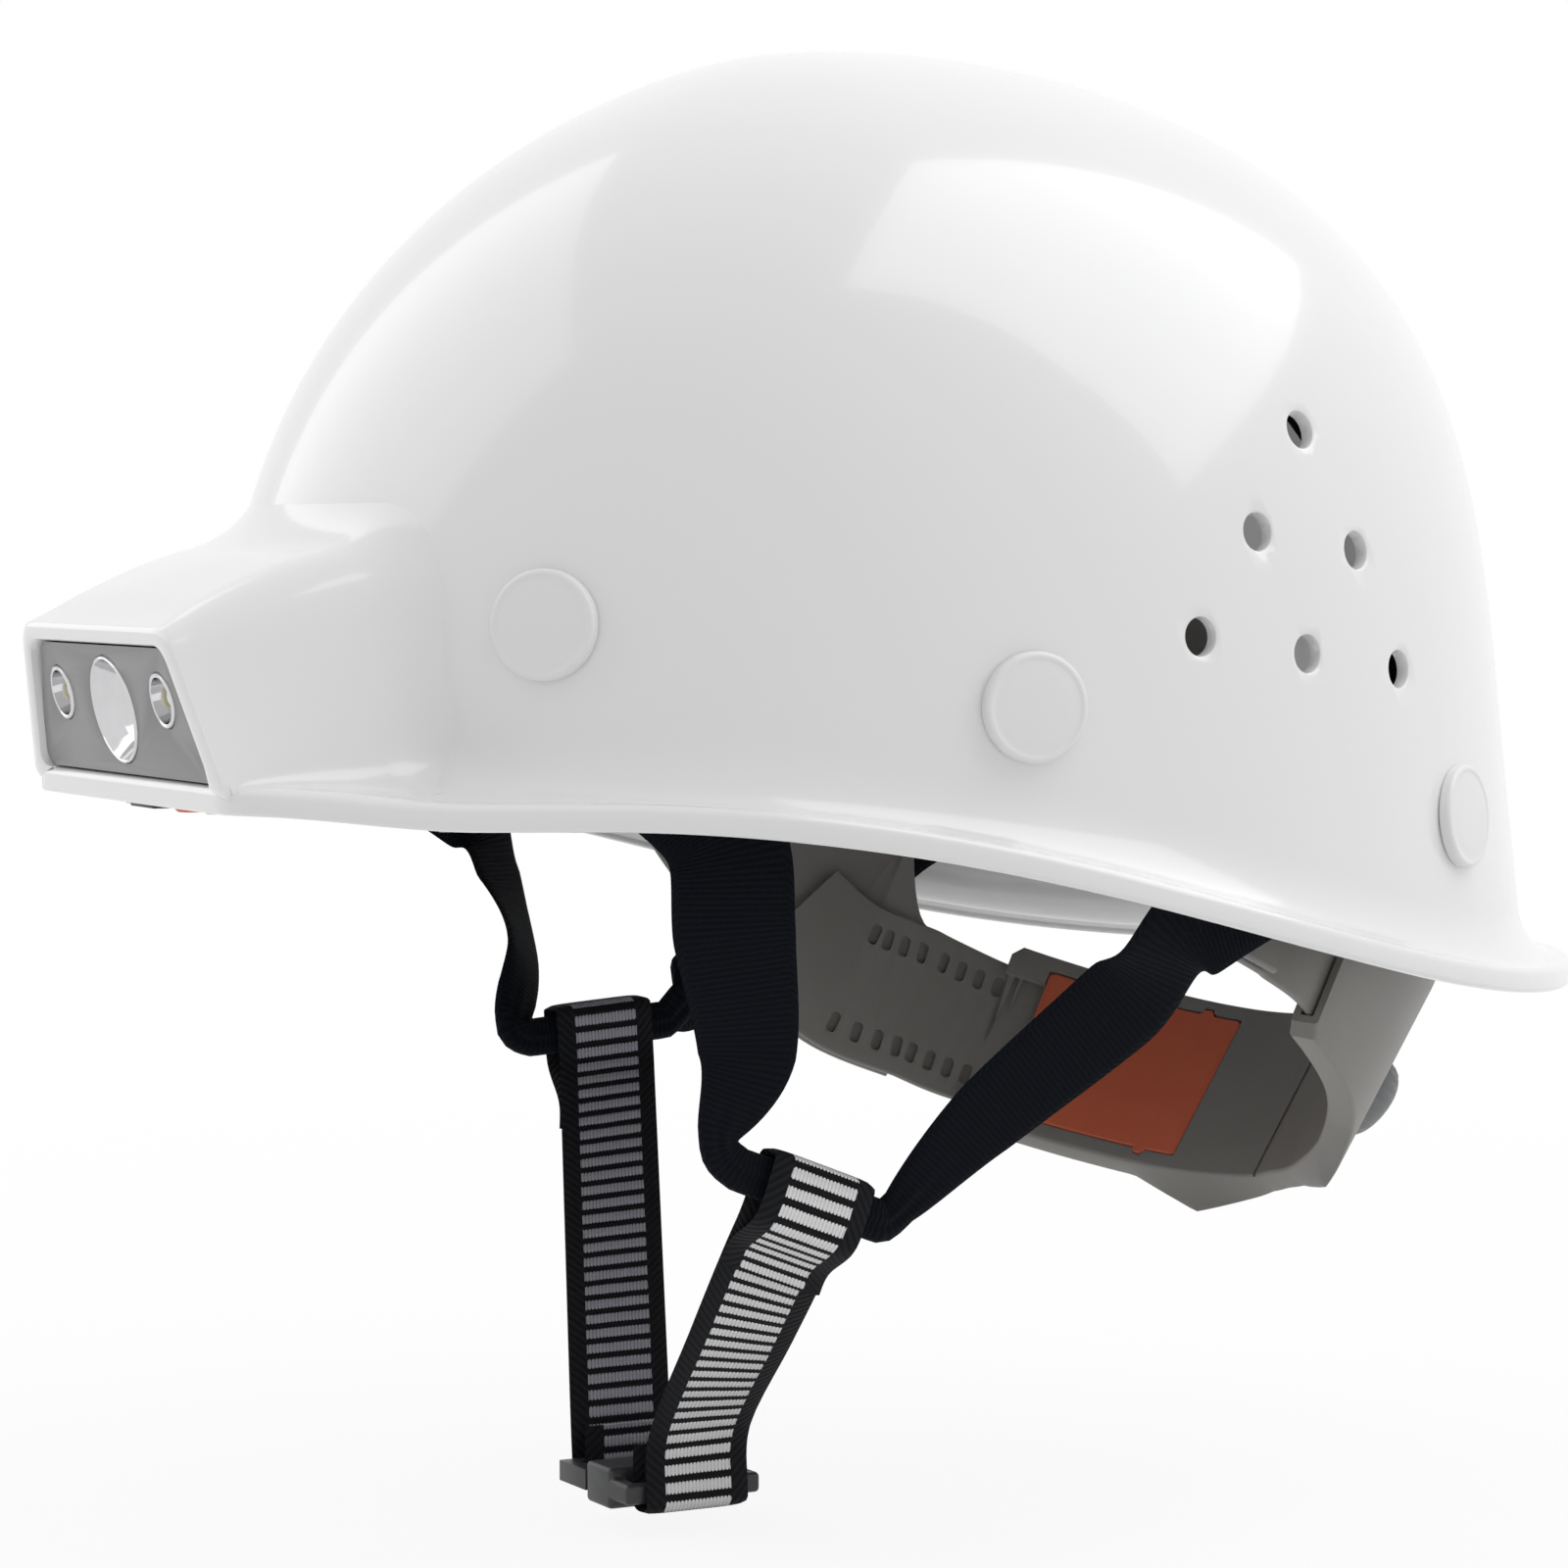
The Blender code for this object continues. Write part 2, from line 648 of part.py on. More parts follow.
def build_caps():
    for side_name, side in SIDES.items():
        for place in CAP_SPOTS:
            point, out, level, rise = cap_frame(place, side)
            depth = SHELL_WALL + HANGER_SAG + HANGER_THICKNESS / 2
            radius = CAP_DIAMETER / 2
            stem = STEM_DIAMETER / 2
            profile = [
                (stem, -depth),
                (stem, FIT),
                (radius, FIT),
                (radius, FIT + CAP_THICKNESS * 0.6),
                (radius - CAP_THICKNESS * 0.4, FIT + CAP_THICKNESS),
                (radius * 0.4, FIT + CAP_THICKNESS + CAP_CROWN),
            ]
            lathe(f"cap_{side_name}_{place}", profile, point, out, "white_cap")
            build_hanger(f"hanger_{side_name}_{place}", point, out, level, rise)


def hanger_face(place, side):
    point, out, level, rise = cap_frame(place, side)
    return point - out * (SHELL_WALL + HANGER_SAG + FIT + HANGER_THICKNESS), out, level, rise


def build_hanger(name, point, out, level, rise):
    outer = SHELL_WALL + HANGER_SAG + FIT
    wide = HANGER_WIDTH / 2
    tall = HANGER_HEIGHT / 2
    nip = 4 * MM
    outline = [
        (wide, tall - nip), (wide - nip, tall), (nip - wide, tall), (-wide, tall - nip),
        (-wide, nip - tall), (nip - wide, -tall), (wide - nip, -tall), (wide, nip - tall),
    ]
    rings = []
    for depth in (outer, outer + HANGER_THICKNESS):
        rings.append([point - out * depth + level * x + rise * v for x, v in outline])
    hanger = loft(name, rings, "grey_plastic", smooth=False)
    hole = STEM_DIAMETER / 2 + FIT
    deep = -outer - HANGER_THICKNESS * 0.8
    boolean(hanger, drill(name + "_hole", hole, deep, 0, point, out, "grey_plastic"), "DIFFERENCE")


def stack_point(place, side, layer, along):
    # A place on the pile of strap ends that a hanger holds, counted inwards.
    face, out, _, rise = hanger_face(place, side)
    return face - out * (FIT + WEB_THICKNESS / 2 + layer * (WEB_THICKNESS + FIT)) + rise * along


# Crown straps and pad

def crown_level():
    return dome_point(0, CROWN_SHARE).z - SHELL_WALL - CROWN_GAP


def crown_half(place, side, layer):
    start = stack_point(place, side, 0, -9 * MM)
    bend = stack_point(place, side, 0, 10 * MM)
    _, out, _, _ = hanger_face(place, side)
    level = crown_level() + layer * (WEB_THICKNESS + FIT)
    top = Vector((bend.x, bend.y, 0)).normalized() * CROWN_FLAT + Vector((0, 0, level))
    route = [start]
    normals = [out]
    steps = 7
    for step in range(steps + 1):
        turn = math.pi / 2 * step / steps
        across = 1 - math.cos(turn)
        rise = math.sin(turn)
        route.append(Vector((
            bend.x + (top.x - bend.x) * across,
            bend.y + (top.y - bend.y) * across,
            bend.z + (top.z - bend.z) * rise,
        )))
        normals.append((out * math.cos(turn) + Vector((0, 0, 1)) * math.sin(turn)).normalized())
    route.append(Vector((0, 0, level)))
    normals.append(Vector((0, 0, 1)))
    return route, normals


def build_crown():
    pairs = {
        "crown_strap_across": ("middle", "middle"),
        "crown_strap_slant_left": ("front", "rear"),
        "crown_strap_slant_right": ("rear", "front"),
    }
    for layer, (name, (left, right)) in enumerate(pairs.items()):
        route, normals = crown_half(left, SIDES["left"], layer)
        other, other_normals = crown_half(right, SIDES["right"], layer)
        route = route + other[-2::-1]
        normals = normals + other_normals[-2::-1]
        widths = [CROWN_STRAP_WIDTH] * len(route)
        thick = [WEB_THICKNESS] * len(route)
        ribbon(name, route, across_from_normals(route, normals), widths, thick, "black_webbing")
    top = crown_level() - WEB_THICKNESS / 2 - FIT
    radius = CROWN_PAD_DIAMETER / 2
    dish = (radius - CROWN_FLAT) * 0.2
    profile = [
        (radius * 0.5, -CROWN_PAD_THICKNESS),
        (radius * 0.9, -CROWN_PAD_THICKNESS - dish),
        (radius, -CROWN_PAD_THICKNESS * 0.5 - dish),
        (radius * 0.96, -dish * 1.2),
        (CROWN_FLAT * 0.9, 0),
    ]
    lathe("crown_pad", profile, (0, 0, top), (0, 0, 1), "black_foam")


# Headband family

def hang_turn(y):
    # The headband hangs tilted about the fore and aft axis through the origin, more so at the nape.
    tilt = FRONT_TILT + (NAPE_TILT - FRONT_TILT) * smooth_step(y, TWIST_START, TWIST_END)
    return Matrix.Rotation(-tilt, 3, "Y")


def hang(point):
    return hang_turn(point.y) @ point


def mirrored_route(half):
    points = [route_point(point) for point in half]
    other = [Vector((-point.x, point.y, point.z)) for point in points]
    return other[::-1] + points[1:] if half[0][0] == 0 else points + other[-2::-1]


def band_strip(name, route, ups, highs, lows, thick, finish):
    rings = []
    for point, along, up, high, low in zip(route, tangents(route), ups, highs, lows):
        up = (up - along * up.dot(along)).normalized()
        out = along.cross(up).normalized() * thick / 2
        bottom = point - up * low
        top = point + up * high
        rings.append([hang(corner) for corner in (bottom - out, bottom + out, top + out, top - out)])
    return loft(name, rings, finish)


def headband_route():
    return smooth_route(mirrored_route(HEADBAND_ROUTE), 3)


def build_headband():
    route = headband_route()
    up = [Vector((0, 0, 1))] * len(route)
    highs = []
    for point in route:
        rise = smooth_step(point.y, EAR_START, EAR_START + EAR_BLEND)
        fall = 1 - smooth_step(point.y, EAR_END - EAR_BLEND, EAR_END)
        highs.append(BAND_HEIGHT / 2 + EAR_RISE * rise * fall)
    lows = [BAND_HEIGHT / 2] * len(route)
    band = band_strip("headband", route, up, highs, lows, BAND_THICKNESS, "grey_plastic")
    middle = len(route) // 2
    pad = []
    for place, (point, along) in enumerate(zip(route, tangents(route))):
        travel = abs(place - middle)
        inwards = along.cross(Vector((0, 0, 1))).normalized()
        if inwards.dot(Vector((-point.x, -point.y, 0))) < 0:
            inwards.negate()
        if travel <= 5:
            pad.append(point + inwards * (BAND_THICKNESS / 2 + FIT + SWEATBAND_THICKNESS / 2))
    pad_ups = [Vector((0, 0, 1))] * len(pad)
    half = [SWEATBAND_HEIGHT / 2] * len(pad)
    band_strip("sweatband", pad, pad_ups, half, half, SWEATBAND_THICKNESS, "black_foam")
    return band


def tail_ups(route):
    ups = []
    for point in route:
        lean = NAPE_LEAN * smooth_step(point.y, NAPE_LEAN_START, NAPE_LEAN_END)
        ups.append(Vector((0, math.sin(lean), math.cos(lean))))
    return ups


def tail_route(side):
    band = headband_route()
    shared_count = 7
    inset = BAND_THICKNESS / 2 + LOOP_FIT + TAIL_THICKNESS / 2
    route = []
    for point, along in list(zip(band, tangents(band)))[-shared_count:]:
        inwards = Vector((-along.y, along.x, 0)).normalized()
        route.append(point + inwards * inset)
    route = route[:-1] + smooth_route([route[-1]] + [route_point(point) for point in TAIL_ROUTE], 4)
    return [Vector((point.x * side, point.y, point.z)) for point in route]


def build_tails():
    for side_name, side in SIDES.items():
        route = tail_route(side)
        route = route[:-5]
        half = [TAIL_HEIGHT / 2] * len(route)
        ups = tail_ups(route)
        tail = band_strip(f"size_tail_{side_name}", route, ups, half, half, TAIL_THICKNESS, "grey_plastic")
        boolean(tail, as_cutter(slot_cutter(f"slots_{side_name}", route, ups)), "DIFFERENCE")


def walk(route, distance):
    # The point at a distance along a route, with its place between two points.
    for place in range(len(route) - 1):
        step = (route[place + 1] - route[place]).length
        if distance <= step:
            return route[place].lerp(route[place + 1], distance / step), place
        distance -= step
    return route[-1], len(route) - 2


def slot_cutter(name, route, ups):
    points = []
    faces = []
    along_all = tangents(route)
    for slot in range(SLOT_COUNT):
        centre, place = walk(route, SLOT_START + slot * SLOT_PITCH)
        along = along_all[place]
        up = (ups[place] - along * ups[place].dot(along)).normalized()
        out = along.cross(up)
        for row in (-SLOT_ROW, SLOT_ROW):
            start = len(points)
            for depth in (-2 * TAIL_THICKNESS, 2 * TAIL_THICKNESS):
                for a, b in CORNERS:
                    level = row + b * SLOT_HEIGHT / 2
                    reach = a * SLOT_LENGTH / 2
                    points.append(hang(centre + up * level + along * reach + out * depth))
            faces.append((start, start + 1, start + 2, start + 3))
            faces.append((start + 4, start + 5, start + 6, start + 7))
            for step in range(4):
                after = (step + 1) % 4
                faces.append((start + step, start + after, start + 4 + after, start + 4 + step))
    return add_mesh(name, points, faces, "grey_plastic")


def sleeve_sections():
    # The tails meet in the middle of the sleeve, and it leaves the first points of each uncovered.
    route = tail_route(SIDES["right"]) + tail_route(SIDES["left"])[-2::-1]
    skip_count = 10
    sections = []
    stations = list(zip(route, tangents(route), tail_ups(route)))
    for point, along, up in stations[skip_count:-skip_count]:
        up = (up - along * up.dot(along)).normalized()
        out = up.cross(along).normalized()
        if out.dot(Vector((point.x, point.y - NAPE_CENTRE, 0))) < 0:
            out.negate()
        sections.append((point, along, up, out))
    return sections


def build_sleeve():
    hole = TAIL_THICKNESS / 2 + SLEEVE_PLAY
    wall = hole + SLEEVE_WALL
    room = TAIL_HEIGHT / 2 + FIT
    tall = room + SLEEVE_EDGE
    count = 4
    points = []
    faces = []
    sections = sleeve_sections()
    middle = sections[len(sections) // 2][0]
    for point, _, up, out in sections:
        # The outer wall hangs down to a blunt point on each side of the knob.
        past = abs((point - middle).length - SLEEVE_POINT_PLACE)
        hung = SLEEVE_POINT * max(0.0, 1 - past / SLEEVE_POINT_SPAN)
        for half_height, half_depth in ((tall, wall), (room, hole)):
            for a, b in CORNERS:
                lower = hung if half_height == tall and (a, b) == (1, -1) else 0.0
                points.append(hang(point + out * (a * half_depth) + up * (b * half_height - lower)))
    ring = 2 * count
    for place in range(len(sections) - 1):
        low = place * ring
        high = low + ring
        for layer in (0, count):
            for step in range(count):
                after = (step + 1) % count
                start = low + layer
                end = high + layer
                faces.append((start + step, start + after, end + after, end + step))
    for low in (0, (len(sections) - 1) * ring):
        for step in range(count):
            after = (step + 1) % count
            faces.append((low + step, low + after, low + count + after, low + count + step))
    sleeve = add_mesh("nape_sleeve", points, faces, "grey_plastic")
    deep = 3 * SLEEVE_WALL
    key_end = KEY_START + KEY_LENGTH + FIT
    window = inner_plate("key_window", KEY_START - FIT, key_end, KEY_HEIGHT + 2 * FIT, deep)
    boolean(sleeve, as_cutter(window), "DIFFERENCE")
    # The tail's slots show through the inner wall up to the lock key.
    window = inner_plate("slot_window", -2 * MM, KEY_START, SLOT_WINDOW_HEIGHT, deep)
    boolean(sleeve, as_cutter(window), "DIFFERENCE")
    return sleeve


def inner_plate(name, start, stop, height, depth):
    # A plate that follows the sleeve's inner wall, at distances from its end on the wearer's right.
    sections = sleeve_sections()
    route = [section[0] for section in sections]
    inner = TAIL_THICKNESS / 2 + SLEEVE_PLAY + SLEEVE_WALL / 2
    steps = 5
    rings = []
    for step in range(steps + 1):
        point, place = walk(route, start + (stop - start) * step / steps)
        _, _, up, out = sections[place]
        centre = point - out * inner
        half = depth / 2
        rings.append([hang(centre + out * (a * half) + up * (b * height / 2)) for a, b in CORNERS])
    return loft(name, rings, "orange_plastic")


def build_key():
    key = inner_plate("lock_key", KEY_START, KEY_START + KEY_LENGTH, KEY_HEIGHT, SLEEVE_WALL)
    sections = sleeve_sections()
    route = [section[0] for section in sections]
    point, place = walk(route, KEY_START + KEY_LENGTH)
    _, _, up, out = sections[place]
    hinge = hang(point - out * (TAIL_THICKNESS / 2 + SLEEVE_PLAY + SLEEVE_WALL))
    put_origin(key, hinge)
    return hinge, hang_turn(point.y) @ up


def build_knob():
    sections = sleeve_sections()
    point, _, up, out = sections[len(sections) // 2]
    out = Vector((0, 1, 0))
    out = (out - up * out.dot(up)).normalized()
    wall = TAIL_THICKNESS / 2 + SLEEVE_PLAY + SLEEVE_WALL
    seat = point + out * (wall + FIT) + up * KNOB_RISE
    radius = KNOB_DIAMETER / 2
    profile = [
        (radius * 0.75, 0),
        (radius * 0.92, KNOB_HEIGHT * 0.15),
        (radius, KNOB_HEIGHT * 0.45),
        (radius * 0.92, KNOB_HEIGHT * 0.8),
        (radius * 0.6, KNOB_HEIGHT),
    ]
    axis = hang_turn(seat.y) @ out
    knob = lathe("nape_knob", profile, hang(seat), axis, "grey_plastic")
    put_origin(knob, hang(seat))
    return hang(seat), axis


def build_drop_straps():
    route = headband_route()
    along_all = tangents(route)
    for side_name, side in SIDES.items():
        for place in ("front", "middle"):
            layer = 3 if place == "front" else 1
            start = stack_point(place, side, layer, 8 * MM)
            leave = stack_point(place, side, layer, -9 * MM)
            _, _, level, rise = hanger_face(place, side)
            spans = [(point.xy - leave.xy).length for point in route]
            nearest = spans.index(min(spans))
            along = along_all[nearest]
            outwards = along.cross(Vector((0, 0, 1))).normalized()
            if outwards.dot(Vector((route[nearest].x, route[nearest].y, 0))) < 0:
                outwards.negate()
            centre = route[nearest] + outwards * (BAND_THICKNESS / 2 + 3 * FIT + WEB_THICKNESS / 2)
            arrive = hang(centre)
            finish = hang(centre - Vector((0, 0, BAND_HEIGHT * 0.4)))
            along = hang_turn(centre.y) @ along
            if along.dot(level) < 0:
                along.negate()
            route_points = [start, leave]
            across = [level, level]
            steps = 12
            pull = max((leave - arrive).length * 0.5, 4 * MM)
            for step in range(1, steps):
                t = step / steps
                bend_a = leave - rise * pull
                bend_b = arrive + outwards * pull * 0.4 + Vector((0, 0, pull))
                early = leave * (1 - t) ** 3 + bend_a * 3 * t * (1 - t) ** 2
                late = bend_b * 3 * t * t * (1 - t) + arrive * t**3
                route_points.append(early + late)
                across.append(level.lerp(along, t))
            route_points += [arrive, finish]
            across += [along, along]
            widths = [CROWN_STRAP_WIDTH * 0.8] * len(route_points)
            thick = [WEB_THICKNESS] * len(route_points)
            name = f"drop_strap_{side_name}_{place}"
            ribbon(name, route_points, across, widths, thick, "black_webbing")


# Chin harness

def loop_frame(side_name):
    plan = LEG_ROUTES[side_name]
    slope = math.radians(plan["slope"])
    along = Vector((0, math.cos(slope), math.sin(slope)))
    up = Vector((0, -math.sin(slope), math.cos(slope)))
    return route_point(plan["loop"]), along, up


def build_leg_straps():
    for side_name, side in SIDES.items():
        plan = LEG_ROUTES[side_name]
        lateral = Vector((side, 0, 0))
        turns = plan["turns"]

        def facing(degrees):
            turn = math.radians(degrees)
            return Vector((side * math.cos(turn), -math.sin(turn), 0))

        loop, along, _ = loop_frame(side_name)
        inset = SHELL_WALL + STRAP_WALL_GAP
        front_level = lip_level(wall_at(plan["front_angle"], 0, inset, side).y)
        rear_level = lip_level(wall_at(plan["rear_angle"], 0, inset, side).y)
        inside_level = lip_level(wall_at(plan["inside_angle"], 0, inset, side).y) + 20 * MM
        front = wall_at(plan["front_angle"], front_level, inset, side)
        rear = wall_at(plan["rear_angle"], rear_level, inset, side)
        inside = wall_at(plan["inside_angle"], inside_level, inset, side)
        leave = stack_point("front", side, 1, -9 * MM)
        between_angle = (plan["front_angle"] + CAP_SPOTS["front"][0]) / 2
        between = wall_at(between_angle, (leave.z + front.z) / 2, inset, side)
        _, front_out, _, _ = hanger_face("front", side)
        _, rear_out, _, _ = hanger_face("rear", side)
        flat = CHIN_STRAP_WIDTH / 2 + 5 * MM
        wide, slim = LEG_STRAP_WIDTH, GATHER_WIDTH
        thin, fat = WEB_THICKNESS, GATHER_THICKNESS
        stops = [
            (stack_point("front", side, 1, 8 * MM), front_out, wide, thin),
            (leave, front_out, wide, thin),
            (between, front_out.lerp(lateral, 0.25), wide, thin),
            (front, front_out.lerp(facing(turns["front"]), 0.5), wide, thin),
            (route_point(plan["down"][0]), facing(turns["down"][0]), wide, thin),
            (route_point(plan["down"][1]), facing(turns["down"][1]), wide * 0.8, thin),
            (loop - along * (flat + 4 * MM) + Vector((0, 0, 4 * MM)), lateral, slim, fat),
            (loop - along * flat, lateral, slim, fat),
            (loop + along * flat, lateral, slim, fat),
            (loop + along * (flat + 4 * MM) + Vector((0, 0, 4 * MM)), lateral, slim, fat),
            (route_point(plan["up"][0]), facing(turns["up"][0]), wide * 0.75, thin),
            (route_point(plan["up"][1]), facing(turns["up"][1]), wide, thin),
            (rear, facing(turns["rear"]), wide, thin),
            (inside, rear_out.lerp(lateral, 0.5), wide * 0.9, thin),
            (stack_point("rear", side, 1, -9 * MM), rear_out, wide * 0.9, thin),
            (stack_point("rear", side, 1, 8 * MM), rear_out, wide * 0.9, thin),
        ]
        per_span = 3
        route = []
        normals = []
        widths = []
        thick = []
        # The ends on the hangers and the gathered run through the loop stay straight.
        for run in (stops[:1], stops[1:8], stops[8:-1], stops[-1:]):
            route += smooth_route([stop[0] for stop in run], per_span)
            normals += smooth_route([stop[1] for stop in run], per_span)
            widths += even_values([stop[2] for stop in run], per_span)
            thick += even_values([stop[3] for stop in run], per_span)
        across = across_from_normals(route, normals)
        ribbon(f"leg_strap_{side_name}", route, across, widths, thick, "black_webbing")


def build_chin_straps():
    half = WEB_THICKNESS / 2
    reach = GATHER_THICKNESS / 2 + LOOP_FIT + half
    corner = GATHER_WIDTH / 2
    slack = LOOP_FIT + half
    top = corner + slack
    bx, by, bz = BUCKLE_PLACE
    bar_low = BUCKLE_THICKNESS / 2 - 2 * MM
    for side_name, side in SIDES.items():
        loop, along, up = loop_frame(side_name)
        lateral = Vector((side, 0, 0))

        def local(a, b):
            return loop + lateral * a + up * b

        bar_end = Vector((bx + side * (BUCKLE_HALF_LENGTH + LOOP_FIT + half), by, bz))
        inner = Vector((bx + side * (BUCKLE_HALF_LENGTH - BUCKLE_BAR - LOOP_FIT - half), by, bz))
        under = Vector((0, 0, -(bar_low + LOOP_FIT + half)))
        target = bar_end + Vector((side * 1 * MM, 0, 12 * MM))
        start = local(-reach, -top)
        run = (target - start).normalized()
        outwards = along.cross(run).normalized()
        if outwards.x * side < 0:
            outwards.negate()
        pile = WEB_THICKNESS + FIT
        tail = [start + run * distance + outwards * pile for distance in (16 * MM, 9 * MM)]
        knee = local(reach, -top - 1 * MM)
        route = tail + [
            knee,
            local(reach, corner),
            local(reach - slack * 0.3, corner + slack * 0.7),
            local(reach - slack, top),
            local(slack - reach, top),
            local(slack * 0.3 - reach, corner + slack * 0.7),
            local(-reach, corner),
            start,
            start + run * 9 * MM,
            start + run * 16 * MM,
            start.lerp(target, 0.55),
            target,
            bar_end,
            bar_end + under * 0.7,
            bar_end.lerp(inner, 0.25) + under,
            bar_end.lerp(inner, 0.75) + under,
            inner + under * 0.7,
            inner,
            inner + Vector((0, 0, 9 * MM)),
        ]
        # Both layers of the sewn end lie square to the loop, and the strap turns level below them.
        sewn = route.index(target) - 2
        across = []
        for place in range(len(route)):
            share = smooth_step(place, sewn, sewn + 2)
            across.append(along.lerp(Vector((0, 1, 0)), share).normalized())
        widths = [CHIN_STRAP_WIDTH] * len(route)
        thick = [WEB_THICKNESS] * len(route)
        ribbon(f"chin_strap_{side_name}", route, across, widths, thick, "barred_webbing")


def build_buckle():
    x, y, z = BUCKLE_PLACE
    wide = BUCKLE_WIDTH / 2
    tall = BUCKLE_THICKNESS / 2
    slot = CHIN_STRAP_WIDTH / 2 + FIT
    mouth = x + BUCKLE_MOUTH
    tongue = BUCKLE_TONGUE
    inner_wide = wide - 3 * MM
    inner_tall = tall - BUCKLE_WALL
    bar_tall = tall - 2 * MM
    end = BUCKLE_HALF_LENGTH
    bar = x + end - BUCKLE_BAR
    waist = bar - BUCKLE_SLOT

    def block(name, start, stop, half_width, half_height):
        low = (start, y - half_width, z - half_height)
        return box(name, low, (stop, y + half_width, z + half_height), "black_plastic")

    socket = block("buckle_socket", mouth, waist, wide, tall)
    boolean(socket, as_cutter(block("socket_frame", waist - 1 * MM, x + end, wide, bar_tall)), "UNION")
    boolean(socket, as_cutter(block("socket_slot", waist, bar, slot, tall + FIT)), "DIFFERENCE")
    inside = block("socket_cavity", mouth - FIT, mouth + tongue + FIT, inner_wide, inner_tall)
    boolean(socket, as_cutter(inside), "DIFFERENCE")
    prong = block("buckle_prong", x - end, mouth - FIT, wide, bar_tall)
    rod = block("prong_tongue", mouth - 2 * MM, mouth + tongue, inner_wide - FIT, inner_tall - FIT)
    boolean(prong, as_cutter(rod), "UNION")
    split = block("prong_split", mouth + 3 * MM, mouth + tongue + FIT, inner_wide * 0.45, tall)
    boolean(prong, as_cutter(split), "DIFFERENCE")
    far_bar = x - end + BUCKLE_BAR
    boolean(prong, as_cutter(block("prong_slot", far_bar, far_bar + BUCKLE_SLOT, slot, tall)), "DIFFERENCE")


# Lamp

def build_lamp():
    outline = panel_outline(FIT)
    rings = [[lamp_point(x, v, depth) for x, v in outline] for depth in (0, PANEL_THICKNESS)]
    panel = loft("lamp_panel", rings, "grey_panel", smooth=False)
    _, _, out = lamp_frame()
    lamps = [("main", 0.0, 0.0, MAIN_LAMP_DIAMETER, MAIN_REFLECTOR_DEPTH)]
    for side_name, side in SIDES.items():
        offset = side * SIDE_LAMP_OFFSET
        lamps.append((f"side_{side_name}", offset, SIDE_LAMP_RISE, SIDE_LAMP_DIAMETER, SIDE_REFLECTOR_DEPTH))
    for lamp, x, v, diameter, depth in lamps:
        first, _, last = lamp.partition("_")
        ending = f"_{last}" if last else ""
        reflector = f"{first}_reflector{ending}"
        led = f"{first}_led{ending}"
        radius = diameter / 2
        seat = lamp_point(x, v, 0)
        reach = 2 * PANEL_THICKNESS
        hole = drill(reflector + "_hole", radius + FIT, -reach, reach, seat, out, "grey_panel", ROUND_STEPS)
        boolean(panel, hole, "DIFFERENCE")
        throat = LED_DIAMETER / 2 + FIT
        bowl = [
            (radius, 0),
            (radius, -PANEL_THICKNESS),
            (throat + REFLECTOR_WALL, -depth),
            (throat, -depth),
            (throat + (radius - throat) * 0.55, -depth * 0.62),
            (radius - REFLECTOR_WALL, 0),
        ]
        lathe(reflector, bowl, seat, out, "chrome", ROUND_STEPS, closed=True)
        tip = -depth + LED_DIAMETER * 0.3
        bulb = [
            (LED_DIAMETER / 2, -BOARD_SETBACK + FIT),
            (LED_DIAMETER / 2, tip),
            (LED_DIAMETER * 0.35, tip + LED_DIAMETER * 0.3),
            (LED_DIAMETER * 0.12, tip + LED_DIAMETER * 0.4),
        ]
        lathe(led, bulb, seat, out, "led", DRILL_STEPS)
    rings = []
    setback = BOARD_SETBACK / math.cos(LAMP_FACE_LEAN)
    for depth in (setback, setback + BOARD_THICKNESS):
        half = BOARD_HEIGHT / 2
        rings.append([lamp_point(a * BOARD_HALF_WIDTH, b * half, depth) for a, b in CORNERS])
    loft("led_board", rings, "green_board", smooth=False)
    base = min(v for _, v in panel_outline(0.0)) + FIT
    rings = []
    for depth in (LAMP_DEPTH - FIT - BATTERY_THICKNESS, LAMP_DEPTH - FIT):
        corners = [(-1, base), (1, base), (1, base + BATTERY_HEIGHT), (-1, base + BATTERY_HEIGHT)]
        rings.append([lamp_point(sign * BATTERY_LENGTH / 2, v, depth) for sign, v in corners])
    loft("battery", rings, "blue_wrap", smooth=False)
    build_switch_plate()


def switch_plate_place():
    # The middle of the peak's underside, in front of the head.
    level = lip_level(-PEAK_FRONT) + LIP_HEIGHT - SHELL_WALL
    return Vector((0, -PEAK_FRONT + SHELL_WALL + FIT + PLATE_LENGTH / 2, level))


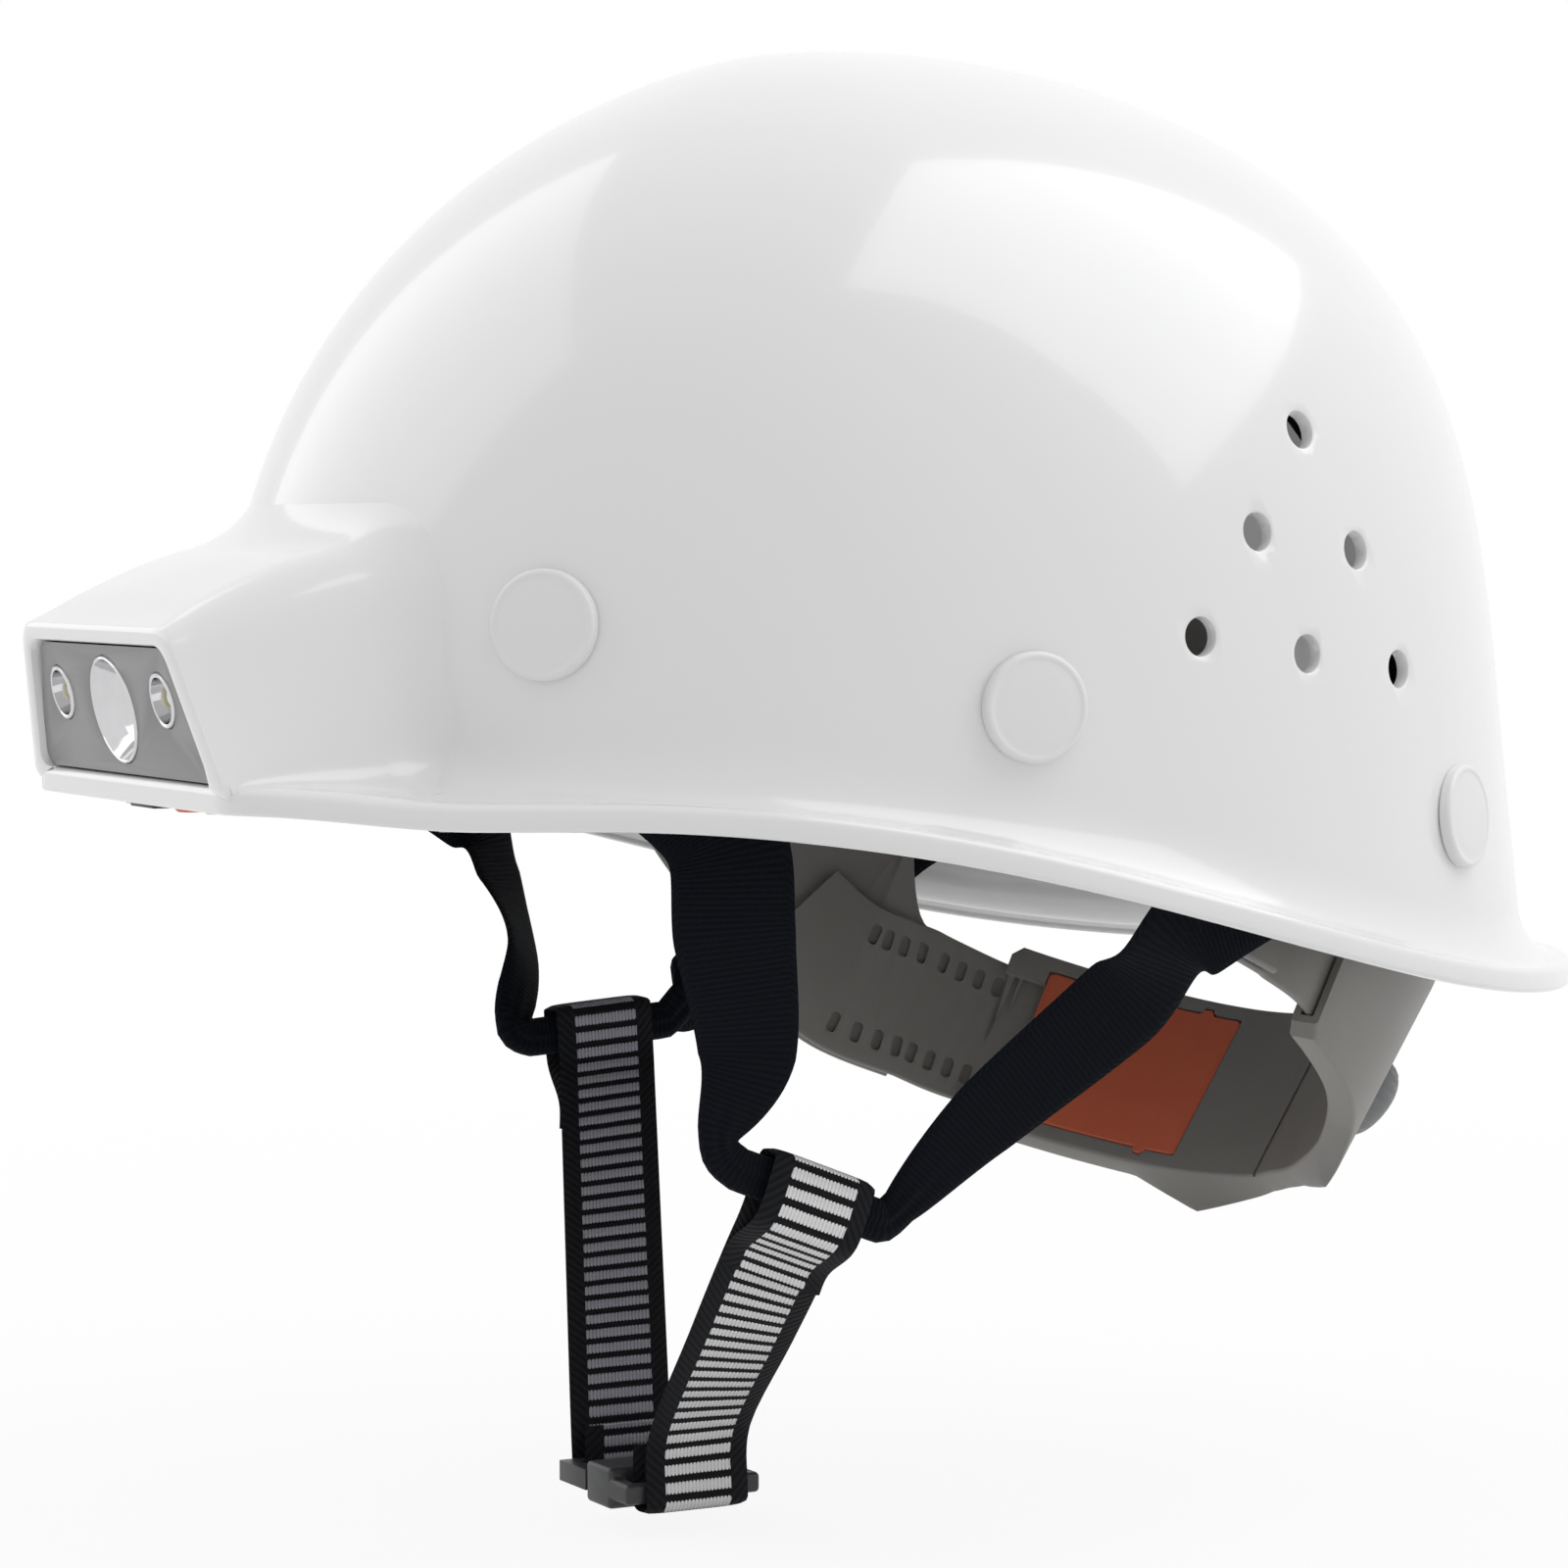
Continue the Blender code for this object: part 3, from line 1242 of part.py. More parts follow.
def build_switch_plate():
    place = switch_plate_place()
    top = place.z - FIT
    low = (-PLATE_HALF_WIDTH, place.y - PLATE_LENGTH / 2, top - PLATE_THICKNESS)
    high = (PLATE_HALF_WIDTH, place.y + PLATE_LENGTH / 2, top)
    plate = box("switch_plate", low, high, "black_plastic")
    up = (0, 0, 1)
    button_place = Vector((BUTTON_OFFSET, place.y, top))
    radius = BUTTON_DIAMETER / 2
    reach = 2 * PLATE_THICKNESS
    hole = drill("button_hole", radius + FIT, -reach, reach, button_place, up, "black_plastic")
    boolean(plate, hole, "DIFFERENCE")
    profile = [
        (radius * 0.8, -PLATE_THICKNESS - BUTTON_STAND),
        (radius, -PLATE_THICKNESS - BUTTON_STAND * 0.6),
        (radius, FIT),
        (radius + 2 * FIT, FIT),
        (radius + 2 * FIT, FIT + BUTTON_FLANGE),
    ]
    button = lathe("switch_button", profile, button_place, up, "orange_plastic", DRILL_STEPS)
    put_origin(button, button_place)
    for side_name, side in SIDES.items():
        seat = Vector((side * SCREW_OFFSET, place.y, top))
        shank = SCREW_DIAMETER / 2
        head = SCREW_HEAD_DIAMETER / 2
        hole = drill(f"screw_hole_{side_name}", shank + FIT, -reach, reach, seat, up, "steel")
        boolean(plate, hole, "DIFFERENCE")
        profile = [
            (head * 0.8, -PLATE_THICKNESS - FIT - head * 0.5),
            (head, -PLATE_THICKNESS - FIT),
            (shank, -PLATE_THICKNESS - FIT),
            (shank, SHELL_WALL),
        ]
        lathe(f"plate_screw_{side_name}", profile, seat, up, "steel", DRILL_STEPS)
    middle = Vector((SOCKET_OFFSET, place.y, top))
    half = Vector((SOCKET_WIDTH / 2, SOCKET_DEPTH / 2, 0))
    room = half + Vector((FIT, FIT, 0))
    rise = Vector((0, 0, reach))
    hole = box("socket_hole", middle - room - rise, middle + room + rise, "steel")
    boolean(plate, as_cutter(hole), "DIFFERENCE")
    sunk = Vector((0, 0, PLATE_THICKNESS))
    box("charge_socket", middle - half - sunk, middle + half - sunk + Vector((0, 0, SOCKET_HEIGHT)), "steel")
    hinge = Vector((SOCKET_OFFSET, place.y + FLAP_LENGTH / 2, top - PLATE_THICKNESS - FIT))
    low = hinge - Vector((FLAP_WIDTH / 2, FLAP_LENGTH, FLAP_THICKNESS))
    high = hinge + Vector((FLAP_WIDTH / 2, 0, 0))
    flap = box("port_flap", low, high, "black_plastic")
    put_origin(flap, hinge)


def main():
    clear_scene()
    build_shell()
    build_caps()
    build_crown()
    build_headband()
    build_tails()
    build_sleeve()
    hinge, hinge_axis = build_key()
    knob, knob_axis = build_knob()
    build_drop_straps()
    build_leg_straps()
    build_chin_straps()
    build_buckle()
    build_lamp()
    print("lock key hinge", [round(v, 5) for v in hinge], [round(v, 4) for v in hinge_axis])
    print("nape knob axis", [round(v, 5) for v in knob], [round(v, 4) for v in knob_axis])


main()
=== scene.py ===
import math

import bpy
import numpy as np
from mathutils import Matrix, Vector
from mathutils.bvhtree import BVHTree


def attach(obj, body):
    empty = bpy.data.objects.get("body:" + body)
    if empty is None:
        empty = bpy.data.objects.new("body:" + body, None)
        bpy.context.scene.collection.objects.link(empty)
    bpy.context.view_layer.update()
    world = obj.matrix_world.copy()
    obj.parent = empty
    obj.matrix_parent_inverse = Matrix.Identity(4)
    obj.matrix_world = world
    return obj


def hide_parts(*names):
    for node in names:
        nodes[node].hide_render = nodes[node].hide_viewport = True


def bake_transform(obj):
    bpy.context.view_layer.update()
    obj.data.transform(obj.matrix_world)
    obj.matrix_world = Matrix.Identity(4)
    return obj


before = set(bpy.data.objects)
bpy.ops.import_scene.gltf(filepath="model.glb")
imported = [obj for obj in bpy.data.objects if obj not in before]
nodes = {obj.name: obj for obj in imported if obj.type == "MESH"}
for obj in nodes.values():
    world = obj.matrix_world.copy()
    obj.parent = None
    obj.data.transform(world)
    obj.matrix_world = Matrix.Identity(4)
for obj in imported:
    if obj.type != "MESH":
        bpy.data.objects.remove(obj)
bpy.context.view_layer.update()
mm = 0.001
sides = {"left": 1.0, "right": -1.0}
print("frame loaded", len(nodes), "nodes")


# hand tools

def deselectAll():
    bpy.ops.object.select_all(action="DESELECT")


def takeUp(piece):
    deselectAll()
    piece.select_set(True)
    bpy.context.view_layer.objects.active = piece


def inEdit(piece, *steps):
    takeUp(piece)
    bpy.ops.object.mode_set(mode="EDIT")
    bpy.ops.mesh.select_all(action="SELECT")
    for step in steps:
        step()
    bpy.ops.object.mode_set(mode="OBJECT")


def mergeClose():
    bpy.ops.mesh.remove_doubles(threshold=2e-6)


def fillEnds():
    bpy.ops.mesh.fill_holes(sides=0)


def faceOut():
    bpy.ops.mesh.normals_make_consistent(inside=False)


def smoothBy(piece, degrees=35):
    takeUp(piece)
    bpy.ops.object.shade_smooth_by_angle(angle=math.radians(degrees))


def applied(piece, kind, **settings):
    takeUp(piece)
    step = piece.modifiers.new(kind.lower(), kind)
    for name, value in settings.items():
        setattr(step, name, value)
    bpy.ops.object.modifier_apply(modifier=step.name)


def cutAway(piece, cutter):
    applied(piece, "BOOLEAN", operation="DIFFERENCE", solver="EXACT", object=cutter)
    bpy.data.objects.remove(cutter, do_unlink=True)


def joined(pieces):
    deselectAll()
    for piece in pieces:
        piece.select_set(True)
    bpy.context.view_layer.objects.active = pieces[0]
    bpy.ops.object.join()
    return pieces[0]


def sheet(name, rows, spots=None, ends=True, smooth=35):
    # a flat grid pulled onto rows of points, its seam and poles merged
    across, along = len(rows[0]), len(rows)
    deselectAll()
    bpy.ops.mesh.primitive_grid_add(x_subdivisions=across - 1, y_subdivisions=along - 1, size=1)
    piece = bpy.context.object
    piece.name = piece.data.name = name
    piece.data.vertices.foreach_set("co", np.array(rows, float).ravel())
    if spots:
        flat = np.array(spots, float).reshape(-1, 2)
        corners = np.zeros(len(piece.data.loops), int)
        piece.data.loops.foreach_get("vertex_index", corners)
        piece.data.uv_layers.active.data.foreach_set("uv", flat[corners].ravel())
    inEdit(piece, mergeClose, *([fillEnds] if ends else []), faceOut)
    smoothBy(piece, smooth)
    return piece


def turned(name, profile, place, axis, steps=64, smooth=35):
    # a closed outline of (radius, distance) points spun about its axis
    axis = Vector(axis).normalized()
    guide = Vector((0, 0, 1)) if abs(axis.z) < 0.9 else Vector((1, 0, 0))
    side = axis.cross(guide).normalized()
    deselectAll()
    bpy.ops.mesh.primitive_circle_add(vertices=len(profile), radius=1, fill_type="NOTHING")
    piece = bpy.context.object
    piece.name = piece.data.name = name
    for corner, (radius, along) in zip(piece.data.vertices, profile):
        corner.co = Vector(place) + side * radius + axis * along

    def spin():
        bpy.ops.mesh.spin(steps=steps, angle=2 * math.pi, center=place, axis=axis)
        bpy.ops.mesh.select_all(action="SELECT")

    def tidy():
        bpy.ops.mesh.dissolve_degenerate(threshold=1e-6)
        bpy.ops.mesh.select_all(action="SELECT")

    inEdit(piece, spin, mergeClose, tidy, faceOut)
    smoothBy(piece, smooth)
    return piece


def softened(node, width, segments=3, angle=30):
    # the node's own shape with its loose triangles merged and its edges rounded
    piece = nodes[node].copy()
    piece.data = nodes[node].data.copy()
    piece.parent = None
    for key in list(piece.keys()):
        del piece[key]
    bpy.context.scene.collection.objects.link(piece)
    piece.name = piece.data.name = node + "_soft"
    piece.hide_render = piece.hide_viewport = False

    def flatten():
        bpy.ops.mesh.remove_doubles(threshold=1e-5)
        bpy.ops.mesh.dissolve_limited(angle_limit=math.radians(1))

    inEdit(piece, flatten)
    applied(piece, "BEVEL", width=width, segments=segments, limit_method="ANGLE",
            angle_limit=math.radians(angle), use_clamp_overlap=True)
    smoothBy(piece, 40)
    return piece


def settle(piece, body, finish, slot, *stands):
    piece.data.materials.clear()
    piece.data.materials.append(finish)
    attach(piece, body)
    if stands:
        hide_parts(*stands)
    return piece


def smoothStep(value, start, end):
    t = min(max((value - start) / (end - start), 0.0), 1.0)
    return t * t * (3 - 2 * t)


def smoothRoute(points, perSpan):
    route = []
    last = len(points) - 1
    for place in range(last):
        start, end = points[place], points[place + 1]
        leave = (end - points[max(place - 1, 0)]) * 0.5
        arrive = (points[min(place + 2, last)] - start) * 0.5
        for step in range(perSpan):
            t = step / perSpan
            route.append(start * (2 * t**3 - 3 * t**2 + 1) + leave * (t**3 - 2 * t**2 + t)
                         + end * (3 * t**2 - 2 * t**3) + arrive * (t**3 - t**2))
    return route + [points[-1]]


def evenValues(values, perSpan):
    found = []
    for start, end in zip(values, values[1:]):
        found += [start + (end - start) * step / perSpan for step in range(perSpan)]
    return found + [values[-1]]


def tangents(route):
    last = len(route) - 1
    return [(route[min(i + 1, last)] - route[max(i - 1, 0)]).normalized() for i in range(last + 1)]


def curveThrough(a, b, c, t):
    return a * (1 - t) ** 2 + b * (2 * t * (1 - t)) + c * t**2


# shader tools

class Wire:
    # one socket in an expression
    def __init__(self, finish, socket):
        self.finish = finish
        self.socket = socket

    def sum(self, operation, first, second):
        return self.finish.add("ShaderNodeMath", {"operation": operation}, {0: first, 1: second})

    def __add__(self, other): return self.sum("ADD", self, other)
    def __radd__(self, other): return self.sum("ADD", other, self)
    def __sub__(self, other): return self.sum("SUBTRACT", self, other)
    def __rsub__(self, other): return self.sum("SUBTRACT", other, self)
    def __mul__(self, other): return self.sum("MULTIPLY", self, other)
    def __rmul__(self, other): return self.sum("MULTIPLY", other, self)
    def __truediv__(self, other): return self.sum("DIVIDE", self, other)
    def __rtruediv__(self, other): return self.sum("DIVIDE", other, self)
    def __pow__(self, other): return self.sum("POWER", self, other)
    def __lt__(self, other): return self.sum("LESS_THAN", self, other)
    def __gt__(self, other): return self.sum("GREATER_THAN", self, other)
    def __abs__(self): return self.sum("ABSOLUTE", self, 0.0)
    def sine(self): return self.sum("SINE", self, 0.0)
    def part(self): return self.sum("FRACT", self, 0.0)
    def whole(self): return self.sum("FLOOR", self, 0.0)
    def most(self, other): return self.sum("MAXIMUM", self, other)


class Finish:
    def __init__(self, owner, shader, fixed):
        owner.use_nodes = True
        self.owner = owner
        self.tree = owner.node_tree
        self.shader = self.tree.nodes[shader]
        for socket, value in fixed.items():
            self.shader.inputs[socket].default_value = value

    def add(self, kind, settings, values, output=0):
        node = self.tree.nodes.new(kind)
        for name, value in settings.items():
            if name == "stops":
                ramp = node.color_ramp
                while len(ramp.elements) < len(value):
                    ramp.elements.new(0.5)
                for stop, (place, colour) in zip(ramp.elements, value):
                    stop.position, stop.color = place, colour
            else:
                setattr(node, name, value)
        for name, value in values.items():
            self.feed(node.inputs[name], value)
        return Wire(self, node.outputs[output])

    def feed(self, socket, value):
        if isinstance(value, Wire):
            self.tree.links.new(value.socket, socket)
        else:
            socket.default_value = value

    def spot(self, kind="Object"):
        return self.add("ShaderNodeTexCoord", {}, {}, kind)

    def looking(self):
        # 1 for the rays that see a surface straight on, mirrored or through glass
        path = self.add("ShaderNodeLightPath", {}, {}, "Is Camera Ray").socket.node
        straight, mirrored, through = [Wire(self, path.outputs[f"Is {kind} Ray"])
                                       for kind in ("Camera", "Glossy", "Transmission")]
        return straight.most(mirrored).most(through)

    def axes(self, vector):
        parts = self.add("ShaderNodeSeparateXYZ", {}, {0: vector}).socket.node
        return [Wire(self, socket) for socket in parts.outputs]

    def noise(self, vector, scale, detail=2.0, rough=0.5):
        return self.add("ShaderNodeTexNoise", {}, {"Vector": vector, "Scale": scale, "Detail": detail,
                                                   "Roughness": rough}, "Fac")

    def ramp(self, value, low, high, start=(0, 0, 0, 1), end=(1, 1, 1, 1)):
        return self.add("ShaderNodeValToRGB", {"stops": [(low, start), (high, end)]}, {0: value})

    def between(self, amount, first, second):
        return self.add("ShaderNodeMix", {"data_type": "RGBA"}, {0: amount, 6: first, 7: second}, 2)

    def bump(self, height, strength, distance, under=None):
        values = {"Height": height, "Strength": strength, "Distance": distance}
        if under:
            values["Normal"] = under
        return self.add("ShaderNodeBump", {}, values)

    def set(self, **links):
        for name, value in links.items():
            self.feed(self.shader.inputs[name.replace("_", " ")], value)
        return self.owner


def surface(name, fixed):
    return Finish(bpy.data.materials.new(name), "Principled BSDF", fixed)


def mouldedFinish(name, settings):
    # injection moulded plastic: faint mottling, drift in the gloss and a fine skin
    finish = surface(name, {"IOR": 1.48, "Coat Roughness": 0.06, "Coat IOR": 1.5})
    spot = finish.spot()
    cloud = finish.noise(spot, settings["cloudScale"], 3.0)
    grain = finish.noise(spot, settings["grainScale"], 2.0, 0.6)
    deep, pale = settings["deep"], settings["pale"]
    colour = finish.between(cloud, (*deep, 1), (*pale, 1))
    rough = settings["rough"] + (cloud - 0.5) * settings["roughDrift"]
    skin = finish.bump(grain, settings["skin"], settings["skinDepth"])
    if settings.get("peel"):
        peel = finish.noise(spot, settings["peel"], 1.0)
        skin = finish.bump(peel, settings["peelStrength"], settings["peelDepth"], skin)
    finish.shader.inputs["Coat Weight"].default_value = settings.get("coat", 0.0)
    return finish.set(Base_Color=colour, Roughness=rough, Normal=skin)


shellWhite = mouldedFinish("shell_white", {
    "deep": (0.80, 0.80, 0.805), "pale": (0.83, 0.83, 0.832), "cloudScale": 9.0, "rough": 0.20, "roughDrift": 0.05,
    "grainScale": 900.0, "skin": 0.03, "skinDepth": 0.1 * mm, "peel": 160.0, "peelStrength": 0.02,
    "peelDepth": 0.6 * mm, "coat": 0.5})
capWhite = mouldedFinish("cap_white", {
    "deep": (0.79, 0.79, 0.79), "pale": (0.82, 0.82, 0.82), "cloudScale": 60.0, "rough": 0.34, "roughDrift": 0.06,
    "grainScale": 2200.0, "skin": 0.08, "skinDepth": 0.1 * mm})
bandGrey = mouldedFinish("band_grey", {
    "deep": (0.205, 0.198, 0.184), "pale": (0.240, 0.232, 0.218), "cloudScale": 40.0, "rough": 0.48,
    "roughDrift": 0.10, "grainScale": 1800.0, "skin": 0.18, "skinDepth": 0.15 * mm})
knobGrey = mouldedFinish("knob_grey", {
    "deep": (0.20, 0.205, 0.21), "pale": (0.235, 0.24, 0.245), "cloudScale": 60.0, "rough": 0.42,
    "roughDrift": 0.08, "grainScale": 1900.0, "skin": 0.14, "skinDepth": 0.12 * mm})
panelGrey = mouldedFinish("panel_grey", {
    "deep": (0.21, 0.21, 0.21), "pale": (0.25, 0.25, 0.25), "cloudScale": 70.0, "rough": 0.38, "roughDrift": 0.08,
    "grainScale": 2400.0, "skin": 0.10, "skinDepth": 0.1 * mm})
keyOrange = mouldedFinish("key_orange", {
    "deep": (0.60, 0.125, 0.06), "pale": (0.70, 0.155, 0.075), "cloudScale": 55.0, "rough": 0.42, "roughDrift": 0.08,
    "grainScale": 1600.0, "skin": 0.14, "skinDepth": 0.12 * mm})
buckleBlack = mouldedFinish("buckle_black", {
    "deep": (0.020, 0.021, 0.023), "pale": (0.034, 0.035, 0.038), "cloudScale": 80.0, "rough": 0.44,
    "roughDrift": 0.12, "grainScale": 2000.0, "skin": 0.20, "skinDepth": 0.12 * mm})
boardGreen = mouldedFinish("board_green", {
    "deep": (0.03, 0.17, 0.06), "pale": (0.05, 0.22, 0.08), "cloudScale": 120.0, "rough": 0.35, "roughDrift": 0.1,
    "grainScale": 1500.0, "skin": 0.1, "skinDepth": 0.1 * mm})
cellBlue = mouldedFinish("cell_blue", {
    "deep": (0.04, 0.10, 0.34), "pale": (0.06, 0.14, 0.42), "cloudScale": 90.0, "rough": 0.32, "roughDrift": 0.1,
    "grainScale": 300.0, "skin": 0.15, "skinDepth": 0.2 * mm})


def metalFinish(name, colour, rough, streak):
    finish = surface(name, {"Metallic": 1.0})
    spot = finish.spot()
    # noise stretched along one axis streaks the colour and gloss: on the chrome it runs upright and paints
    # reflection streaks into the colour, on the steel it runs across as wear lines
    lines = finish.add("ShaderNodeMapping", {}, {"Vector": spot, "Scale": (1.0, 1.0, streak)})
    wearAndPaintedReflection = finish.noise(lines, 700.0, 3.0)
    shade = finish.between(wearAndPaintedReflection, (*[c * 0.9 for c in colour], 1), (*colour, 1))
    return finish.set(Base_Color=shade, Roughness=rough + (wearAndPaintedReflection - 0.5) * rough * 0.6)


# the chrome's upright colour streaks are painted reflection streaks
chromePlate = metalFinish("chrome_plate", (0.66, 0.66, 0.67), 0.09, 0.25)
steelPlain = metalFinish("steel_plain", (0.56, 0.56, 0.57), 0.30, 6.0)

ledResin = surface("led_resin", {"Roughness": 0.12, "Coat Weight": 0.6, "IOR": 1.5})
ledCloud = ledResin.noise(ledResin.spot(), 600.0)
ledResin = ledResin.set(Base_Color=ledResin.between(ledCloud, (0.78, 0.72, 0.40, 1), (0.90, 0.86, 0.60, 1)))


def webbingFinish(name, weave):
    # grosgrain by its own map: u runs across in metres, v along
    finish = surface(name, {"IOR": 1.35, "Specular IOR Level": 0.12, "Sheen Weight": 0.03, "Sheen Roughness": 0.5})
    across, along, _ = finish.axes(finish.spot("UV"))
    edge = (abs(across) > weave["half"] - weave["selvedge"])
    wobble = finish.noise(finish.spot("UV"), 420.0, 2.0) - 0.5
    rib = ((along + wobble * 0.00012) * (2 * math.pi / weave["pitch"])).sine() * 0.5 + 0.5
    thread = (across * (2 * math.pi / weave["thread"])).sine() * 0.5 + 0.5
    lean = (along - abs(across)) * (2 * math.pi / weave["braid"])
    braid = lean.sine() * 0.5 + 0.5
    fuzz = finish.noise(finish.spot("UV"), 2600.0, 3.0, 0.7)
    height = (1 - edge) * (rib * 0.8 + thread * 0.2) + edge * (braid * 0.7 + 0.3)
    # the colour follows the weave's relief, darker in the grooves between ribs: painted shade, mixed with random
    # fuzz tone
    shade = height * 0.55 + fuzz * 0.45
    colour = finish.between(shade, (*weave["deep"], 1), (*weave["pale"], 1))
    normal = finish.bump(height + fuzz * 0.25, 0.65, 0.3 * mm)
    return finish.set(Base_Color=colour, Roughness=0.72 + fuzz * 0.2, Normal=normal)


webbingBlack = webbingFinish("webbing_black", {
    "half": 11.0 * mm, "selvedge": 1.3 * mm, "pitch": 1.05 * mm, "thread": 0.55 * mm, "braid": 1.5 * mm,
    "deep": (0.002, 0.0025, 0.004), "pale": (0.008, 0.010, 0.015)})


def barredFinish(name, weave):
    # black braided borders, pale stitched bars between them
    finish = surface(name, {"IOR": 1.40, "Specular IOR Level": 0.15, "Sheen Weight": 0.03, "Sheen Roughness": 0.5})
    place = finish.spot("UV")
    across, along, _ = finish.axes(place)
    wobble = finish.noise(place, 300.0, 2.0) - 0.5
    fuzz = finish.noise(place, 2400.0, 3.0, 0.7)
    travel = (along + wobble * 0.00025) / weave["pitch"]
    phase = travel.part()
    bend = abs(across + wobble * 0.0003)
    inside = bend < weave["half"] - weave["border"]
    # each bar is a row of short oval stitches
    stitch = (across / weave["stitch"] + travel.whole() * 0.37).part()
    oval = 1 - (abs(stitch - 0.5) * 2) ** 2.4
    reach = abs(phase - 0.5) * 2
    bar = inside * (reach < weave["bar"] * (0.72 + oval * 0.38))
    lift = bar * (1 - (reach / weave["bar"]) ** 2).most(0.0) * (0.4 + 0.6 * oval)
    lean = (along + bend) * (2 * math.pi / weave["braid"])
    plait = lean.sine() * 0.5 + 0.5
    weft = (along * (2 * math.pi / 0.9e-3)).sine() * 0.5 + 0.5
    ground = inside * weft * 0.4 + (1 - inside) * plait
    # both colours follow the relief that the bump uses: the black ground is darker in its grooves and each stitch
    # greyer towards its ends, painted shade mixed with random fuzz tone
    dark = finish.between(ground * 0.6 + fuzz * 0.4, (*weave["deep"], 1), (*weave["dim"], 1))
    light = finish.between(oval * 0.7 + fuzz * 0.3, (*weave["grey"], 1), (*weave["pale"], 1))
    colour = finish.between(bar, dark, light)
    normal = finish.bump(lift * 1.2 + ground * 0.6 + fuzz * 0.2, 0.7, 0.3 * mm)
    return finish.set(Base_Color=colour, Roughness=0.70 + fuzz * 0.2, Normal=normal)


barWeave = {"half": 11.0 * mm, "border": 3.9 * mm, "pitch": 3.5 * mm, "bar": 0.58, "stitch": 0.78 * mm,
            "braid": 1.9 * mm, "deep": (0.004, 0.004, 0.005), "dim": (0.018, 0.019, 0.022)}
webbingBarredNear = barredFinish("webbing_barred_left", {**barWeave, "grey": (0.62, 0.62, 0.63),
                                                         "pale": (0.86, 0.86, 0.86)})
# the right strap's copy has darker, greyer bars: painted shade, as that strap hangs on the shaded far side of the
# helmet
webbingBarredFarShaded = barredFinish("webbing_barred_right_shaded", {**barWeave, "grey": (0.22, 0.21, 0.24),
                                                         "pale": (0.42, 0.41, 0.46)})


def clothFinish(name, deep, pale, pitch):
    # knitted cover over foam, by its own map in metres
    finish = surface(name, {"Sheen Weight": 0.4, "Sheen Roughness": 0.5})
    place = finish.spot("Object")
    x, y, z = finish.axes(place)
    turn = 2 * math.pi / pitch
    knit = ((x + y) * turn).sine() * ((z + x * 0.5) * turn).sine() * 0.5 + 0.5
    fuzz = finish.noise(place, 1800.0, 3.0, 0.7)
    # the colour follows the knit's relief, darker in its grooves: painted shade, mixed with random fuzz tone
    colour = finish.between(knit * 0.5 + fuzz * 0.5, (*deep, 1), (*pale, 1))
    return finish.set(Base_Color=colour, Roughness=0.8 + fuzz * 0.15,
                      Normal=finish.bump(knit + fuzz * 0.4, 0.6, 0.3 * mm))


padCloth = clothFinish("pad_cloth", (0.010, 0.010, 0.011), (0.040, 0.040, 0.042), 1.3 * mm)
print("finishes made", len(bpy.data.materials))


# helmet surfaces

dome = {
    "halfWidth": 105.0 * mm, "front": 124.7 * mm, "rear": 141.3 * mm, "height": 152.0 * mm,
    "pitch": math.radians(6.8), "wall": 2.6 * mm, "sideDrop": 3.61, "frontDrop": 2.52, "rearDrop": 3.36,
    "sideRound": 1.90, "frontRound": 1.70, "rearRound": 1.73, "skirt": 0.02, "skirtEase": 0.08, "crownEase": 0.30,
    "columns": 320, "rows": 60, "innerRows": 24,
}
brim = {
    "halfWidth": 113.8 * mm, "front": 131.0 * mm, "rear": 157.0 * mm, "sideLevel": 5.5 * mm, "frontRise": 2.8 * mm,
    "rearDrop": 38.6 * mm, "dropStart": -94.0 * mm, "dropEnd": 132.0 * mm, "lip": 5.0 * mm, "flareHeight": 12.0 * mm,
    "flareReach": 15.0 * mm, "peakHalf": 50.0 * mm, "peakFront": 151.5 * mm, "topRound": 1.7 * mm,
    "footRound": 1.0 * mm, "cornerSpread": math.radians(1.6),
}


def lipLevel(y):
    level = brim["sideLevel"] - brim["rearDrop"] * smoothStep(y, brim["dropStart"], brim["dropEnd"])
    return level + brim["frontRise"] * smoothStep(-y, 0.75 * brim["peakFront"], brim["peakFront"])


def oval(angle, half, front, rear):
    along = math.sin(angle) / (rear if math.sin(angle) > 0 else front)
    return 1 / math.hypot(math.cos(angle) / half, along)


def domePoint(angle, share, inset=0.0):
    # share is 1 at the crown, 0 where the dome is widest, and less below
    reach = oval(angle, dome["halfWidth"] - inset, dome["front"] - inset, dome["rear"] - inset)
    tilt = math.sin(angle) ** 2
    end = "rear" if math.sin(angle) > 0 else "front"
    drop = dome["sideDrop"] + (dome[end + "Drop"] - dome["sideDrop"]) * tilt
    bend = dome["sideRound"] + (dome[end + "Round"] - dome["sideRound"]) * tilt
    if share > 0:
        left = max(1 - share**drop, 0.0)
        ease = dome["crownEase"]
        if left > ease**bend:
            scale = left ** (1 / bend)
        else:
            # near the crown the power curve gives way to an even round
            a = ease ** (bend - 2) * (2 - bend / 2)
            b = ease ** (bend - 4) * (bend / 2 - 1)
            scale = math.sqrt(max((-a + math.sqrt(max(a * a + 4 * b * left, 0.0))) / (2 * b), 0.0))
    else:
        soft = dome["skirtEase"]
        scale = 1 + dome["skirt"] * (-share - soft * (1 - math.exp(share / soft)))
    x = reach * math.cos(angle) * scale
    y = reach * math.sin(angle) * scale
    z = share * (dome["height"] - inset)
    turn = dome["pitch"]
    return Vector((x, y * math.cos(turn) - z * math.sin(turn), y * math.sin(turn) + z * math.cos(turn)))


def shareAtLevel(angle, level, inset=0.0):
    low, high = -0.8, 0.98
    for _ in range(30):
        middle = (low + high) / 2
        if domePoint(angle, middle, inset).z > level:
            high = middle
        else:
            low = middle
    return low


def wallAt(degrees, level, inset, side):
    angle = math.radians(degrees)
    point = domePoint(angle, shareAtLevel(angle, level, inset), inset)
    return Vector((point.x * side, point.y, point.z))


